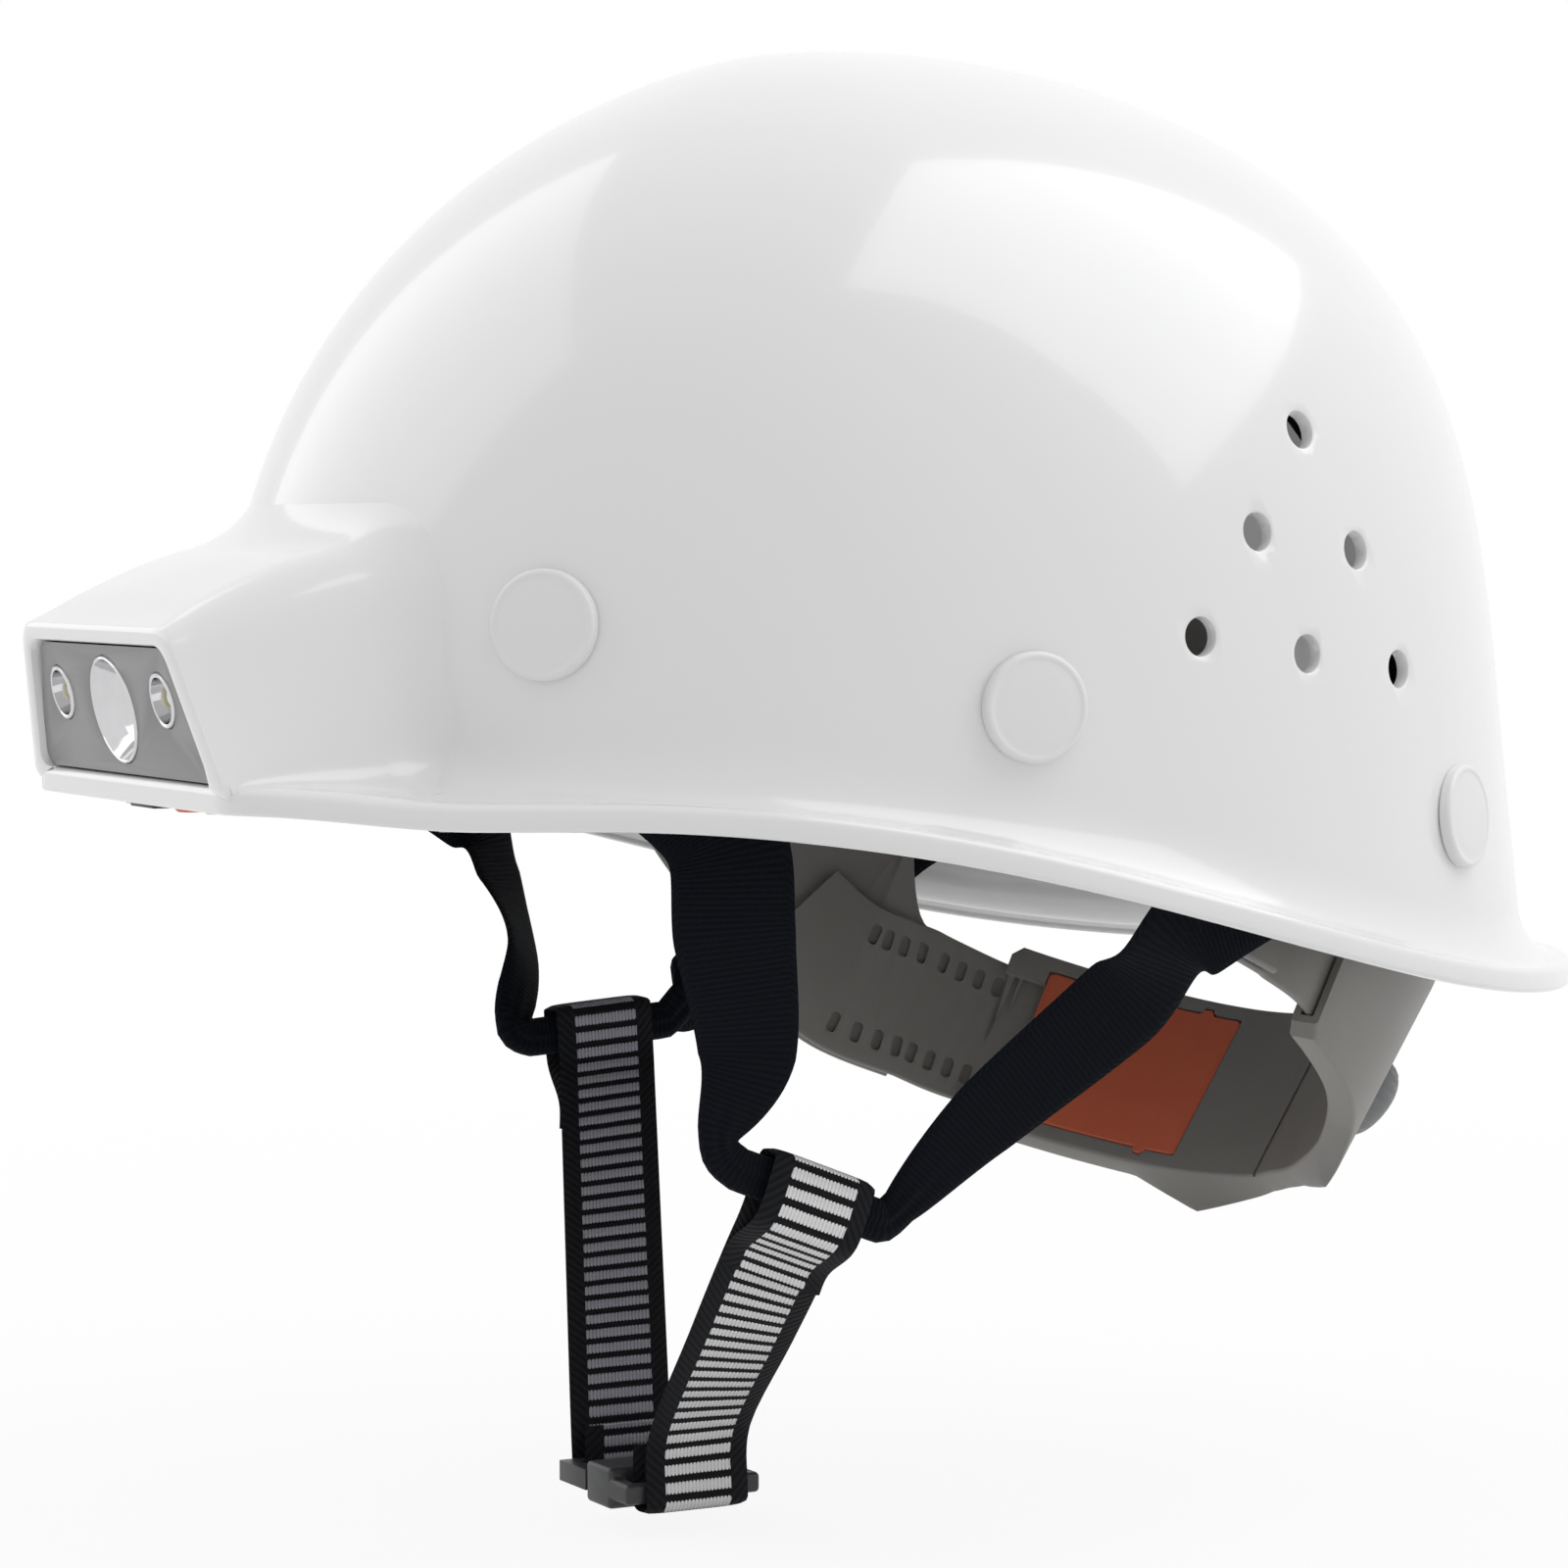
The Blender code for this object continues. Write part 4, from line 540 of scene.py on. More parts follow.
def wallFrame(angle, share, side):
    nudge = 0.001
    point = domePoint(angle, share)
    level = domePoint(angle + nudge, share) - point
    out = level.cross(domePoint(angle, share + nudge) - point).normalized()
    flip = Vector((side, 1, 1))
    point, out, level = point * flip, (out * flip).normalized(), (level * flip).normalized()
    rise = level.cross(out).normalized()
    if rise.z < 0:
        rise.negate()
    return point, out, level, rise


peakTouches = {}


def peakTouch(inset):
    # where a line from the peak's corner just touches the front oval
    if inset not in peakTouches:
        corner = Vector((brim["peakHalf"] - inset, inset - brim["peakFront"]))
        spots = []
        for step in range(4, 360):
            turn = -math.radians(step / 4)
            spots.append(Vector(((brim["halfWidth"] - inset) * math.cos(turn),
                                 (brim["front"] - inset) * math.sin(turn))))
        peakTouches[inset] = max(spots, key=lambda p: math.atan2(p.x - corner.x, p.y - corner.y))
    return peakTouches[inset]


def sharpReach(angle, inset):
    reach = oval(angle, brim["halfWidth"] - inset, brim["front"] - inset, brim["rear"] - inset)
    x, y = abs(math.cos(angle)), math.sin(angle)
    if y < 0:
        corner = Vector((brim["peakHalf"] - inset, inset - brim["peakFront"]))
        touch = peakTouch(inset)
        if math.atan2(y, x) < math.atan2(touch.y, touch.x):
            edge = corner - touch
            slant = (touch.x * edge.y - touch.y * edge.x) / (x * edge.y - y * edge.x)
            reach = min(corner.y / y, slant)
    return reach


def lipPoint(angle, inset=0.0):
    # the corners of the peak are rounded by a mean over a few degrees
    spread = brim["cornerSpread"]
    reach = sum(sharpReach(angle + spread * k / 3, inset) for k in range(-3, 4)) / 7
    return Vector((math.cos(angle), math.sin(angle), 0)) * reach


def shellColumn(angle):
    wall, lip = dome["wall"], brim["lip"]
    level = lipLevel(lipPoint(angle).y)

    def side(inset, rows, lipRound):
        flange = level + lip - inset
        base = shareAtLevel(angle, flange + brim["flareHeight"], inset)
        turns = [math.pi / 2 * k / rows for k in range(rows, -1, -1)]
        column = [domePoint(angle, base + (1 - base) * math.sin(turn), inset) for turn in turns]
        foot = column[-1]
        edge = lipPoint(angle, inset)
        out = Vector((edge.x - foot.x, edge.y - foot.y, 0))
        reach = min(0.8 * out.length, brim["flareReach"])
        for step in range(1, 11):
            bend = math.pi / 2 * step / 10
            column.append(foot + out.normalized() * reach * (1 - math.cos(bend))
                          - Vector((0, 0, brim["flareHeight"] * math.sin(bend))))
        near = lipPoint(angle, inset + lipRound)
        last = column[-1]
        for step in (1, 2):
            share = step / 2
            column.append(Vector((last.x + (near.x - last.x) * share, last.y + (near.y - last.y) * share, flange)))
        return column, flange

    def lipRow(inset, height):
        edge = lipPoint(angle, inset)
        return Vector((edge.x, edge.y, height))

    outer, flange = side(0.0, dome["rows"], brim["topRound"])
    inner, ceiling = side(wall, dome["innerRows"], brim["footRound"])
    edge = []
    for step in range(1, 6):
        turn = math.pi / 2 * step / 5
        size = brim["topRound"]
        edge.append(lipRow(size * (1 - math.sin(turn)), flange - size * (1 - math.cos(turn))))
    for step in range(0, 5):
        turn = math.pi / 2 * step / 4
        size = brim["footRound"]
        edge.append(lipRow(size * (1 - math.cos(turn)), level + size * (1 - math.sin(turn))))
    for step in range(0, 5):
        turn = math.pi / 2 * step / 4
        size = brim["footRound"]
        edge.append(lipRow(wall - size * (1 - math.sin(turn)), level + size * (1 - math.cos(turn))))
    edge.append(lipRow(wall, ceiling - brim["footRound"]))
    return outer + edge + inner[::-1]


vents = {"diameter": 7.0 * mm, "rows": 3, "angle": 29.6, "rowAngle": -2.35, "pitchAngle": 13.9, "share": 0.468,
         "rowShare": -0.1345, "pitchShare": -0.0435, "mouth": 0.55 * mm}
caps = {"diameter": 20.0 * mm, "thick": 2.0 * mm, "crown": 0.4 * mm, "stem": 6.0 * mm, "gap": 0.3 * mm,
        "edge": 0.9 * mm, "rimDepth": 0.16 * mm,
        "spots": {"front": (-54.3, 0.347), "middle": (-9.2, 0.191), "rear": (47.8, -0.050)}}
hanger = {"sag": 1.2 * mm, "thick": 3.0 * mm, "fit": 0.3 * mm}
switchPlate = {"length": 13.0 * mm, "half": 24.0 * mm, "hatchHalf": 16.5 * mm, "hatchLength": 8.0 * mm,
               "fit": 0.3 * mm}


def ventFrames():
    for side in sides.values():
        for row in range(vents["rows"]):
            for column in range(row + 1):
                shift = column - row / 2
                angle = math.radians(vents["angle"] + vents["rowAngle"] * row + vents["pitchAngle"] * shift)
                share = vents["share"] + vents["rowShare"] * row + vents["pitchShare"] * shift
                yield wallFrame(angle, share, side)


def capFrame(place, side):
    degrees, share = caps["spots"][place]
    return wallFrame(math.radians(degrees), share, side)


def drillCutter(point, out, radius, mouth, deep):
    profile = [(0, 1.2 * mm + mouth), (radius + 2.2 * mouth + 1.2 * mm, 1.2 * mm + mouth), (radius + mouth, 0),
               (radius + mouth * 0.3, -mouth * 0.45), (radius, -mouth * 1.2), (radius, -deep), (0, -deep)]
    return turned("drill", profile, point, out, 40)


def makeShell():
    angles = [2 * math.pi * k / dome["columns"] for k in range(dome["columns"] + 1)]
    columns = [shellColumn(angle) for angle in angles]
    rows = [[column[row] for column in columns] for row in range(len(columns[0]))]
    shell = sheet("helmet_shell", rows, ends=False, smooth=40)
    return shell


def cutShell(shell):
    cutters = [drillCutter(point, out, vents["diameter"] / 2, vents["mouth"], 6 * mm)
               for point, out, _, _ in ventFrames()]
    for side in sides.values():
        for place in caps["spots"]:
            point, out, _, _ = capFrame(place, side)
            cutters.append(drillCutter(point, out, caps["stem"] / 2 + caps["gap"], 0.1 * mm, 6 * mm))
    deselectAll()
    plate = platePlace()
    bpy.ops.mesh.primitive_cube_add(size=1, location=plate)
    hatch = bpy.context.object
    hatch.scale = (2 * switchPlate["hatchHalf"], switchPlate["hatchLength"], 4 * brim["lip"])
    bpy.ops.object.transform_apply(location=True, rotation=True, scale=True)
    cutters.append(hatch)
    cutAway(shell, joined(cutters))
    smoothBy(shell, 38)


def platePlace():
    level = lipLevel(-brim["peakFront"]) + brim["lip"] - dome["wall"]
    return Vector((0, -brim["peakFront"] + dome["wall"] + switchPlate["fit"] + switchPlate["length"] / 2, level))


# hood over the lamp, pulled back to the dome through a rounded joint

lamp = {"top": 41.0 * mm, "lean": math.radians(13.0), "topHalf": 37.7 * mm, "rise": 17.0 * mm, "rim": 3.4 * mm,
        "recess": 1.8 * mm, "panelCorner": 4.0 * mm, "main": 20.0 * mm, "side": 10.0 * mm, "sideOffset": 26.0 * mm,
        "sideRise": 2.5 * mm, "mainDepth": 7.4 * mm, "sideDepth": 4.6 * mm, "led": 5.0 * mm, "wall": 0.8 * mm,
        "panel": 2.0 * mm, "board": 9.6 * mm, "fit": 0.3 * mm}
hood = {
    "crown": 0.9 * mm, "frontCorner": 5.0 * mm, "rearCorner": 12.0 * mm, "footMost": 9.0 * mm, "footShare": 0.55,
    "jointTop": 13.0 * mm, "jointFoot": 8.0 * mm, "rimBulge": 0.7 * mm, "thick": 1.2 * mm, "perPart": 9, "rows": 56,
    "sink": 1.5 * mm, "graze": 0.06 * mm, "leastFoot": 0.4 * mm, "searchUp": 22.0 * mm, "searchDown": 8.0 * mm,
    "bury": 0.7 * mm, "insideLevel": 30.0 * mm, "bendRows": 14,
}


def lampFrame():
    up = Vector((0, -math.sin(lamp["lean"]), math.cos(lamp["lean"])))
    out = Vector((0, -math.cos(lamp["lean"]), -math.sin(lamp["lean"])))
    low = lipLevel(-brim["peakFront"])
    middle = (low + brim["lip"] + lamp["top"] - lamp["rim"]) / 2
    face = brim["peakFront"] + math.tan(lamp["lean"]) * (middle - low)
    return Vector((0, -face + lamp["recess"], middle)), up, out


def lampPoint(x, v, depth):
    centre, up, _ = lampFrame()
    return centre + Vector((x, depth, 0)) + up * v


def hoodStation(t):
    # forward place, lean, height and half widths, eased through six sections from the lamp to the dome
    lean, top, rise, front = math.tan(lamp["lean"]), lamp["top"], lamp["rise"], brim["peakFront"]
    low, high = brim["peakHalf"] - lamp["fit"], lamp["topHalf"]
    stations = [Vector(values) for values in (
        (front - lamp["fit"], lean, top, low, high),
        (front - 4 * mm, lean * 0.87, top + 0.13 * rise, low, high + 0.2 * mm),
        (front - 10 * mm, lean * 0.56, top + 0.38 * rise, low + 0.2 * mm, high + 1.2 * mm),
        (front - 21 * mm, lean * 0.22, top + 0.71 * rise, low + 1 * mm, high + 3 * mm),
        (front - 34 * mm, 0.0, top + 0.93 * rise, low + 2.6 * mm, high + 4.8 * mm),
        (dome["front"] - 22 * mm, 0.0, top + rise, low + 5 * mm, high + 7 * mm))]
    last = len(stations) - 1
    place = min(int(t), last - 1)
    t -= place
    start, end = stations[place], stations[place + 1]
    leave = (end - stations[max(place - 1, 0)]) * (0.5 if place else 1.0)
    arrive = (stations[min(place + 2, last)] - start) * 0.5
    return (start * (2 * t**3 - 3 * t**2 + 1) + leave * (t**3 - 2 * t**2 + t)
            + end * (3 * t**2 - 2 * t**3) + arrive * (t**3 - t**2))


def mirroredOutline(half):
    return half + [Vector((-p.x, p.y, p.z)) for p in reversed(half[:-1])]


def hoodOutline(t, skin):
    forward, slope, height, lowHalf, highHalf = hoodStation(t)
    base = lipLevel(-brim["peakFront"]) + brim["lip"] / 2

    def at(x, z):
        return Vector((x, -forward - slope * (z - base), z))

    ease = smoothStep(t, 0.0, 3.5)
    corner = hood["frontCorner"] + (hood["rearCorner"] - hood["frontCorner"]) * ease
    brimHalf = lipPoint(math.atan2(-forward, lowHalf)).x
    for _ in range(6):
        brimHalf = lipPoint(math.atan2(-forward, brimHalf)).x
    foot = min(max(hood["footShare"] * (brimHalf - lowHalf), hood["leastFoot"]), hood["footMost"])

    def wallX(z):
        return lowHalf + (highHalf - lowHalf) * (z - base) / (height - base)

    # the wall comes down onto the brim, and its foot spreads over the brim's own surface
    above, below = [at(wallX(z), z) for z in (base + hood["searchUp"], base - hood["searchDown"])]
    hit = skin.ray_cast(above, (below - above).normalized(), (below - above).length)[0]
    most = base + brim["lip"] / 2
    heel = hit if hit and hit.z < most else at(wallX(most), most)
    spread = skin.find_nearest(heel + Vector((foot, 0, 0)))[0]
    if spread.z > most:
        spread = heel + Vector((foot, 0, 0))
    sink = hood["graze"] + hood["sink"] * (1 - smoothStep(t, 0.0, 0.6))
    toe = spread - Vector((0, 0, sink))
    ankle = heel.z + foot
    count = hood["perPart"]
    half = []
    for step in range(count):
        half.append(curveThrough(toe, heel - Vector((0, 0, sink)), at(wallX(ankle), ankle), step / count))
    low, high = ankle, height - corner
    for step in range(count):
        z = low + (high - low) * step / count
        half.append(at(wallX(z), z))
    for step in range(count):
        half.append(curveThrough(at(wallX(high), high), at(highHalf, height), at(highHalf - corner, height),
                                 step / count))
    for step in range(count + 1):
        x = (highHalf - corner) * (1 - step / count)
        crown = hood["crown"] * ease * (1 - (x / (highHalf - corner)) ** 2)
        half.append(at(x, height + crown))
    return mirroredOutline(half)


def panelEdge(grow, depth):
    # the panel's rounded outline, with its points in step with the hood's
    centre, up, _ = lampFrame()
    half = (lamp["top"] - lamp["rim"] - centre.z) / up.z
    low = lipLevel(-brim["peakFront"])
    spread = (brim["peakHalf"] - lamp["topHalf"]) / (lamp["top"] - low) * 2 * half
    highHalf = lamp["topHalf"] - lamp["rim"] + grow
    lowHalf = highHalf + spread
    tall = half + grow
    corner = lamp["panelCorner"]
    count = hood["perPart"]
    spots = []
    for step in range(count):
        spots.append(curveThrough(Vector((lowHalf - corner, -tall)), Vector((lowHalf, -tall)),
                                  Vector((lowHalf - spread * corner / (2 * tall), corner - tall)), step / count))
    for step in range(count):
        v = corner - tall + (2 * tall - 2 * corner) * step / count
        spots.append(Vector((lowHalf - spread * (v + tall) / (2 * tall), v)))
    for step in range(count):
        spots.append(curveThrough(Vector((highHalf + spread * corner / (2 * tall), tall - corner)),
                                  Vector((highHalf, tall)), Vector((highHalf - corner, tall)), step / count))
    for step in range(count + 1):
        spots.append(Vector(((highHalf - corner) * (1 - step / count), tall)))
    return mirroredOutline([lampPoint(spot.x, spot.y, depth) for spot in spots])


def makeHood(shell):
    graph = bpy.context.evaluated_depsgraph_get()
    skin = BVHTree.FromObject(shell, graph)
    front = hoodOutline(0.0, skin)
    inner = panelEdge(0.0, 0.0)
    rows = [panelEdge(0.02 * mm, 2.6 * mm), panelEdge(0.02 * mm, -0.2 * mm)]
    for share, push in ((0.06, 0.45), (0.16, 0.85), (0.4, 1.0), (0.66, 0.85), (0.86, 0.45)):
        row = []
        for a, b in zip(inner, front):
            flat = a.lerp(b, share)
            face = b.y + (b.z - a.z) * (1 - share) * math.tan(lamp["lean"])
            row.append(Vector((flat.x, face - hood["rimBulge"] * push, flat.z)))
        rows.append(row)
    stations = [5.0 * k / 160 for k in range(161)]
    body = [hoodOutline(t, skin) for t in stations]
    paths = [[outline[place] for outline in body] for place in range(len(front))]
    columns = [runToDome(path, plan) for path, plan in zip(paths, domePlans(paths, skin))]
    for row in range(hood["rows"]):
        rows.append([column[row] for column in columns])
    piece = sheet("hood", rows, ends=False, smooth=40)
    top = max(piece.data.polygons, key=lambda face: face.center.z)
    if top.normal.z < 0:
        inEdit(piece, bpy.ops.mesh.flip_normals)
    applied(piece, "SOLIDIFY", thickness=hood["thick"], offset=-1.0)
    smoothBy(piece, 40)
    return piece


def domePlans(paths, skin):
    # for each path the step where it meets the dome, the place, and where its rounded joint lies down on the dome
    last = len(paths) - 1
    ankle = hood["perPart"]
    plans = {}
    for place in range(ankle, last - ankle + 1):
        path = paths[place]
        share = 1 - abs(place / last * 2 - 1)
        size = hood["jointFoot"] + (hood["jointTop"] - hood["jointFoot"]) * smoothStep(share, 0.25, 0.7)
        step, hit = domeMeeting(path, skin)
        flow = paths[place + 1][step] - paths[place - 1][step]
        back = hit - path[step - 2]
        out = back.cross(flow).normalized()
        if out.dot(hit - Vector((0, hit.y, hood["insideLevel"]))) < 0:
            out.negate()
        plans[place] = (step, hit, layOn(skin, hit + out * size), size)
    # the foot lies on the brim already, so it ends beside the wall's joint
    for place in range(ankle):
        for foot, wall in ((place, ankle), (last - place, last - ankle)):
            step, _, landing, size = plans[wall]
            end = paths[foot][step]
            plans[foot] = (step, end, layOn(skin, end.lerp(landing, place / ankle)), size)
    return [plans[place] for place in range(last + 1)]


def layOn(skin, point):
    spot, normal, _, _ = skin.find_nearest(point)
    return spot - normal * hood["bury"]


def domeMeeting(path, skin):
    for step in range(12, len(path) - 1):
        a, b = path[step], path[step + 1]
        found = skin.ray_cast(a, (b - a).normalized(), (b - a).length)[0]
        if found:
            return step, found
    return len(path) - 2, path[-1]


def runToDome(path, plan):
    # the path as far as the dome, then a curve that leaves it and lies down on the dome
    step, hit, landing, size = plan
    track = path[:step + 1] + [hit]
    lengths = [0.0]
    for a, b in zip(track, track[1:]):
        lengths.append(lengths[-1] + (b - a).length)
    leaveAt = max(lengths[-1] - size, lengths[-1] * 0.3)

    def along(distance):
        for k in range(len(lengths) - 1):
            if distance <= lengths[k + 1]:
                span = lengths[k + 1] - lengths[k]
                return track[k].lerp(track[k + 1], (distance - lengths[k]) / span if span else 0.0)
        return track[-1]

    bendRows = hood["bendRows"]
    bodyRows = hood["rows"] - bendRows
    found = [along(leaveAt * (k / (bodyRows - 1)) ** 1.25) for k in range(bodyRows)]
    for k in range(1, bendRows + 1):
        found.append(curveThrough(found[bodyRows - 1], hit, landing, k / bendRows))
    return found


shell = makeShell()
print("shell", len(shell.data.polygons))
hoodPiece = makeHood(shell)
cutShell(shell)
shell = joined([shell, hoodPiece])
settle(shell, "helmet", shellWhite, "white_shell", "shell")
print("shell with hood and vents", len(shell.data.polygons))


# plug caps and hangers

def makeCaps():
    for sideName, side in sides.items():
        for place in caps["spots"]:
            point, out, _, _ = capFrame(place, side)
            radius, gap, thick = caps["diameter"] / 2, caps["gap"], caps["thick"]
            stem, edge, rimDepth = caps["stem"] / 2, caps["edge"], caps["rimDepth"]
            deep = dome["wall"] + hanger["sag"] + hanger["thick"] / 2
            top = gap + thick
            profile = [(0, -deep), (stem - 0.4 * mm, -deep), (stem, 0.4 * mm - deep), (stem, -0.2 * mm)]
            profile += [(radius - 0.5 * mm, -0.25 * mm), (radius, 0.1 * mm), (radius, top - edge)]
            for step in range(1, 6):
                turn = math.pi / 2 * step / 5
                profile.append((radius - edge * (1 - math.cos(turn)), top - edge * (1 - math.sin(turn))))
            # a fine raised rim, then a shallow crown
            profile += [(radius - 1.15 * mm, top - 0.02 * mm), (radius - 1.4 * mm, top - 0.14 * mm),
                        (radius - 1.8 * mm, top - rimDepth)]
            for share in (0.7, 0.55, 0.4, 0.25, 0.12, 0.0):
                profile.append((radius * share, top + caps["crown"] * (1 - share**2) - rimDepth))
            name = f"cap_{sideName}_{place}"
            cap = turned(name + "_disc", profile, point, out, 72)
            settle(cap, "helmet", capWhite, "white_cap", name)
            plate = softened(f"hanger_{sideName}_{place}", 0.6 * mm)
            settle(plate, "helmet", bandGrey, "grey_plastic", f"hanger_{sideName}_{place}")


makeCaps()
print("caps and hangers")


# lamp

def makeLamp():
    panel = softened("lamp_panel", 0.35 * mm, 2)
    settle(panel, "helmet", panelGrey, "grey_panel", "lamp_panel")
    _, _, out = lampFrame()
    spots = [("main", "", 0.0, 0.0, lamp["main"], lamp["mainDepth"])]
    for sideName, side in sides.items():
        spots.append(("side", "_" + sideName, side * lamp["sideOffset"], lamp["sideRise"], lamp["side"],
                      lamp["sideDepth"]))
    for kind, ending, x, v, diameter, depth in spots:
        seat = lampPoint(x, v, 0)
        radius = diameter / 2
        throat = lamp["led"] / 2 + lamp["fit"]
        lip = 0.5 * mm if kind == "main" else 0.7 * mm
        profile = [(radius + 0.15 * mm, -lamp["panel"]), (radius + 0.15 * mm, 0.1 * mm), (radius, 0.35 * mm),
                   (radius - lip * 0.5, 0.45 * mm), (radius - lip, 0.3 * mm)]
        bowl = radius - lip
        for step in range(1, 17):
            share = step / 16
            reach = bowl + (throat - bowl) * share
            fall = 1 - ((reach - throat) / (bowl - throat)) ** 2
            profile.append((reach, 0.2 * mm - (depth + 0.2 * mm) * fall))
        profile += [(throat + lamp["wall"], -depth - 0.05 * mm), (radius - 1.2 * mm, -lamp["panel"] - 0.3 * mm)]
        name = f"{kind}_reflector{ending}"
        bowlPiece = turned(name + "_bowl", profile, seat, out, 72)
        settle(bowlPiece, "helmet", chromePlate, "chrome", name)
        tip = -depth + lamp["led"] * 0.3
        size = lamp["led"] / 2
        resin = [(0, 0.3 * mm - lamp["board"]), (size, 0.3 * mm - lamp["board"]), (size, tip)]
        for step in range(1, 9):
            turn = math.pi / 2 * step / 8
            resin.append((size * math.cos(turn), tip + lamp["led"] * 0.4 * math.sin(turn)))
        name = f"{kind}_led{ending}"
        settle(turned(name + "_lens", resin, seat, out, 32), "helmet", ledResin, "led", name)
    board = softened("led_board", 0.15 * mm, 1)
    settle(board, "helmet", boardGreen, "green_board", "led_board")
    cell = softened("battery", 1.6 * mm, 4)
    settle(cell, "helmet", cellBlue, "blue_wrap", "battery")
    for node, body, width, finish, slot in (
            ("switch_plate", "helmet", 0.5 * mm, buckleBlack, "black_plastic"),
            ("port_flap", "flap", 0.35 * mm, buckleBlack, "black_plastic"),
            ("charge_socket", "helmet", 0.5 * mm, steelPlain, "steel"),
            ("switch_button", "button", 0.3 * mm, keyOrange, "orange_plastic"),
            ("plate_screw_left", "helmet", 0.2 * mm, steelPlain, "steel"),
            ("plate_screw_right", "helmet", 0.2 * mm, steelPlain, "steel")):
        settle(softened(node, width), body, finish, slot, node)


makeLamp()
print("lamp")


# headband family, drawn level and hung: nearly level in front, tilted at the nape

band = {
    "frontTilt": math.radians(4.0), "napeTilt": math.radians(13.0), "twistStart": -30.0 * mm, "twistEnd": 30.0 * mm,
    "thick": 1.8 * mm, "height": 34.0 * mm, "earRise": 22.0 * mm, "earStart": 4.0 * mm, "earEnd": 52.0 * mm,
    "earBlend": 14.0 * mm, "tailThick": 1.6 * mm, "tailHeight": 34.0 * mm, "slots": 8, "slotLength": 2.2 * mm,
    "slotHeight": 4.6 * mm, "slotPitch": 4.4 * mm, "slotRow": 10.8 * mm, "slotStart": 19.0 * mm,
    "slotFloor": 0.35 * mm, "loopFit": 0.8 * mm, "lean": math.radians(39.0), "leanStart": 40.0 * mm,
    "leanEnd": 70.0 * mm, "centre": 60.0 * mm, "padThick": 3.2 * mm, "padHeight": 30.0 * mm, "fit": 0.3 * mm,
    "perSpan": 12,
    "route": [(0, -80, 18), (0.286, -75, 18), (0.533, -57, 19), (0.695, -28, 21), (0.752, -2, 21), (0.76, 14, 7),
              (0.755, 25.5, -9), (0.742, 37, -20.5), (0.715, 52, -28)],
    "tail": [(0.654, 66, -36), (0.49, 86.5, -48), (0.29, 98.5, -56.5), (0.1, 104.3, -60.7), (0, 105, -61)],
}
sleeve = {"wall": 1.6 * mm, "play": 0.7 * mm, "edge": 4.0 * mm, "point": 6.0 * mm, "pointPlace": 24.0 * mm,
          "pointSpan": 18.0 * mm, "endRound": 2.5 * mm, "slotWindow": 14.5 * mm, "groove": 80.0 * mm}
key = {"length": 45.0 * mm, "height": 35.0 * mm, "start": 9.5 * mm, "tab": 1.3 * mm}
knob = {"diameter": 19.0 * mm, "height": 8.0 * mm, "rise": 6.0 * mm, "flutes": 20}


def routePoint(point):
    return Vector((point[0] * dome["halfWidth"], point[1] * mm, point[2] * mm))


def hangTurn(y):
    tilt = band["frontTilt"] + (band["napeTilt"] - band["frontTilt"]) * smoothStep(y, band["twistStart"],
                                                                                  band["twistEnd"])
    return Matrix.Rotation(-tilt, 3, "Y")


def hang(point):
    return hangTurn(point.y) @ point


def roundedSection(halfOut, low, high, corner, steps=4):
    # (out, up) pairs round a flat strip, closed on itself
    section = []
    for x, y, start in ((-1, -1, 180), (1, -1, 270), (1, 1, 0), (-1, 1, 90)):
        middle = (x * (halfOut - corner), (high - corner) if y > 0 else (corner - low))
        for step in range(steps + 1):
            turn = math.radians(start + 90 * step / steps)
            section.append((middle[0] + corner * math.cos(turn), middle[1] + corner * math.sin(turn)))
    return section + section[:1]


def frames(route, ups, outSign):
    found = []
    for point, along, up in zip(route, tangents(route), ups):
        up = (up - along * up.dot(along)).normalized()
        out = up.cross(along).normalized()
        if out.dot(Vector((point.x, point.y - outSign, 0))) < 0:
            out.negate()
        found.append((point, along, up, out))
    return found


def strip(name, sections, highs, lows, thick, corner, shift=0.0):
    rows = []
    for (point, _, up, out), high, low in zip(sections, highs, lows):
        outline = roundedSection(thick / 2, low, high, corner)
        rows.append([hang(point + out * (a + shift) + up * b) for a, b in outline])
    return sheet(name, rows)


def bandRoute():
    points = [routePoint(point) for point in band["route"]]
    other = [Vector((-p.x, p.y, p.z)) for p in points]
    return smoothRoute(other[::-1] + points[1:], band["perSpan"])


def tailRoute(side):
    whole = bandRoute()
    inset = band["thick"] / 2 + band["loopFit"] + band["tailThick"] / 2
    shared = 2 * band["perSpan"] + 1
    route = []
    for point, along in list(zip(whole, tangents(whole)))[-shared:]:
        route.append(point + Vector((-along.y, along.x, 0)).normalized() * inset)
    rest = [route[-1]] + [routePoint(point) for point in band["tail"]]
    route = route[:-1] + smoothRoute(rest, band["perSpan"])
    return [Vector((p.x * side, p.y, p.z)) for p in route]


def tailUps(route):
    ups = []
    for point in route:
        lean = band["lean"] * smoothStep(point.y, band["leanStart"], band["leanEnd"])
        ups.append(Vector((0, math.sin(lean), math.cos(lean))))
    return ups


def walk(route, distance):
    for place in range(len(route) - 1):
        step = (route[place + 1] - route[place]).length
        if distance <= step:
            return route[place].lerp(route[place + 1], distance / step), place
        distance -= step
    return route[-1], len(route) - 2


def sleeveSections():
    route = tailRoute(-1.0) + tailRoute(1.0)[-2::-1]
    skip = 3 * band["perSpan"]
    return frames(route, tailUps(route), band["centre"])[skip:-skip]


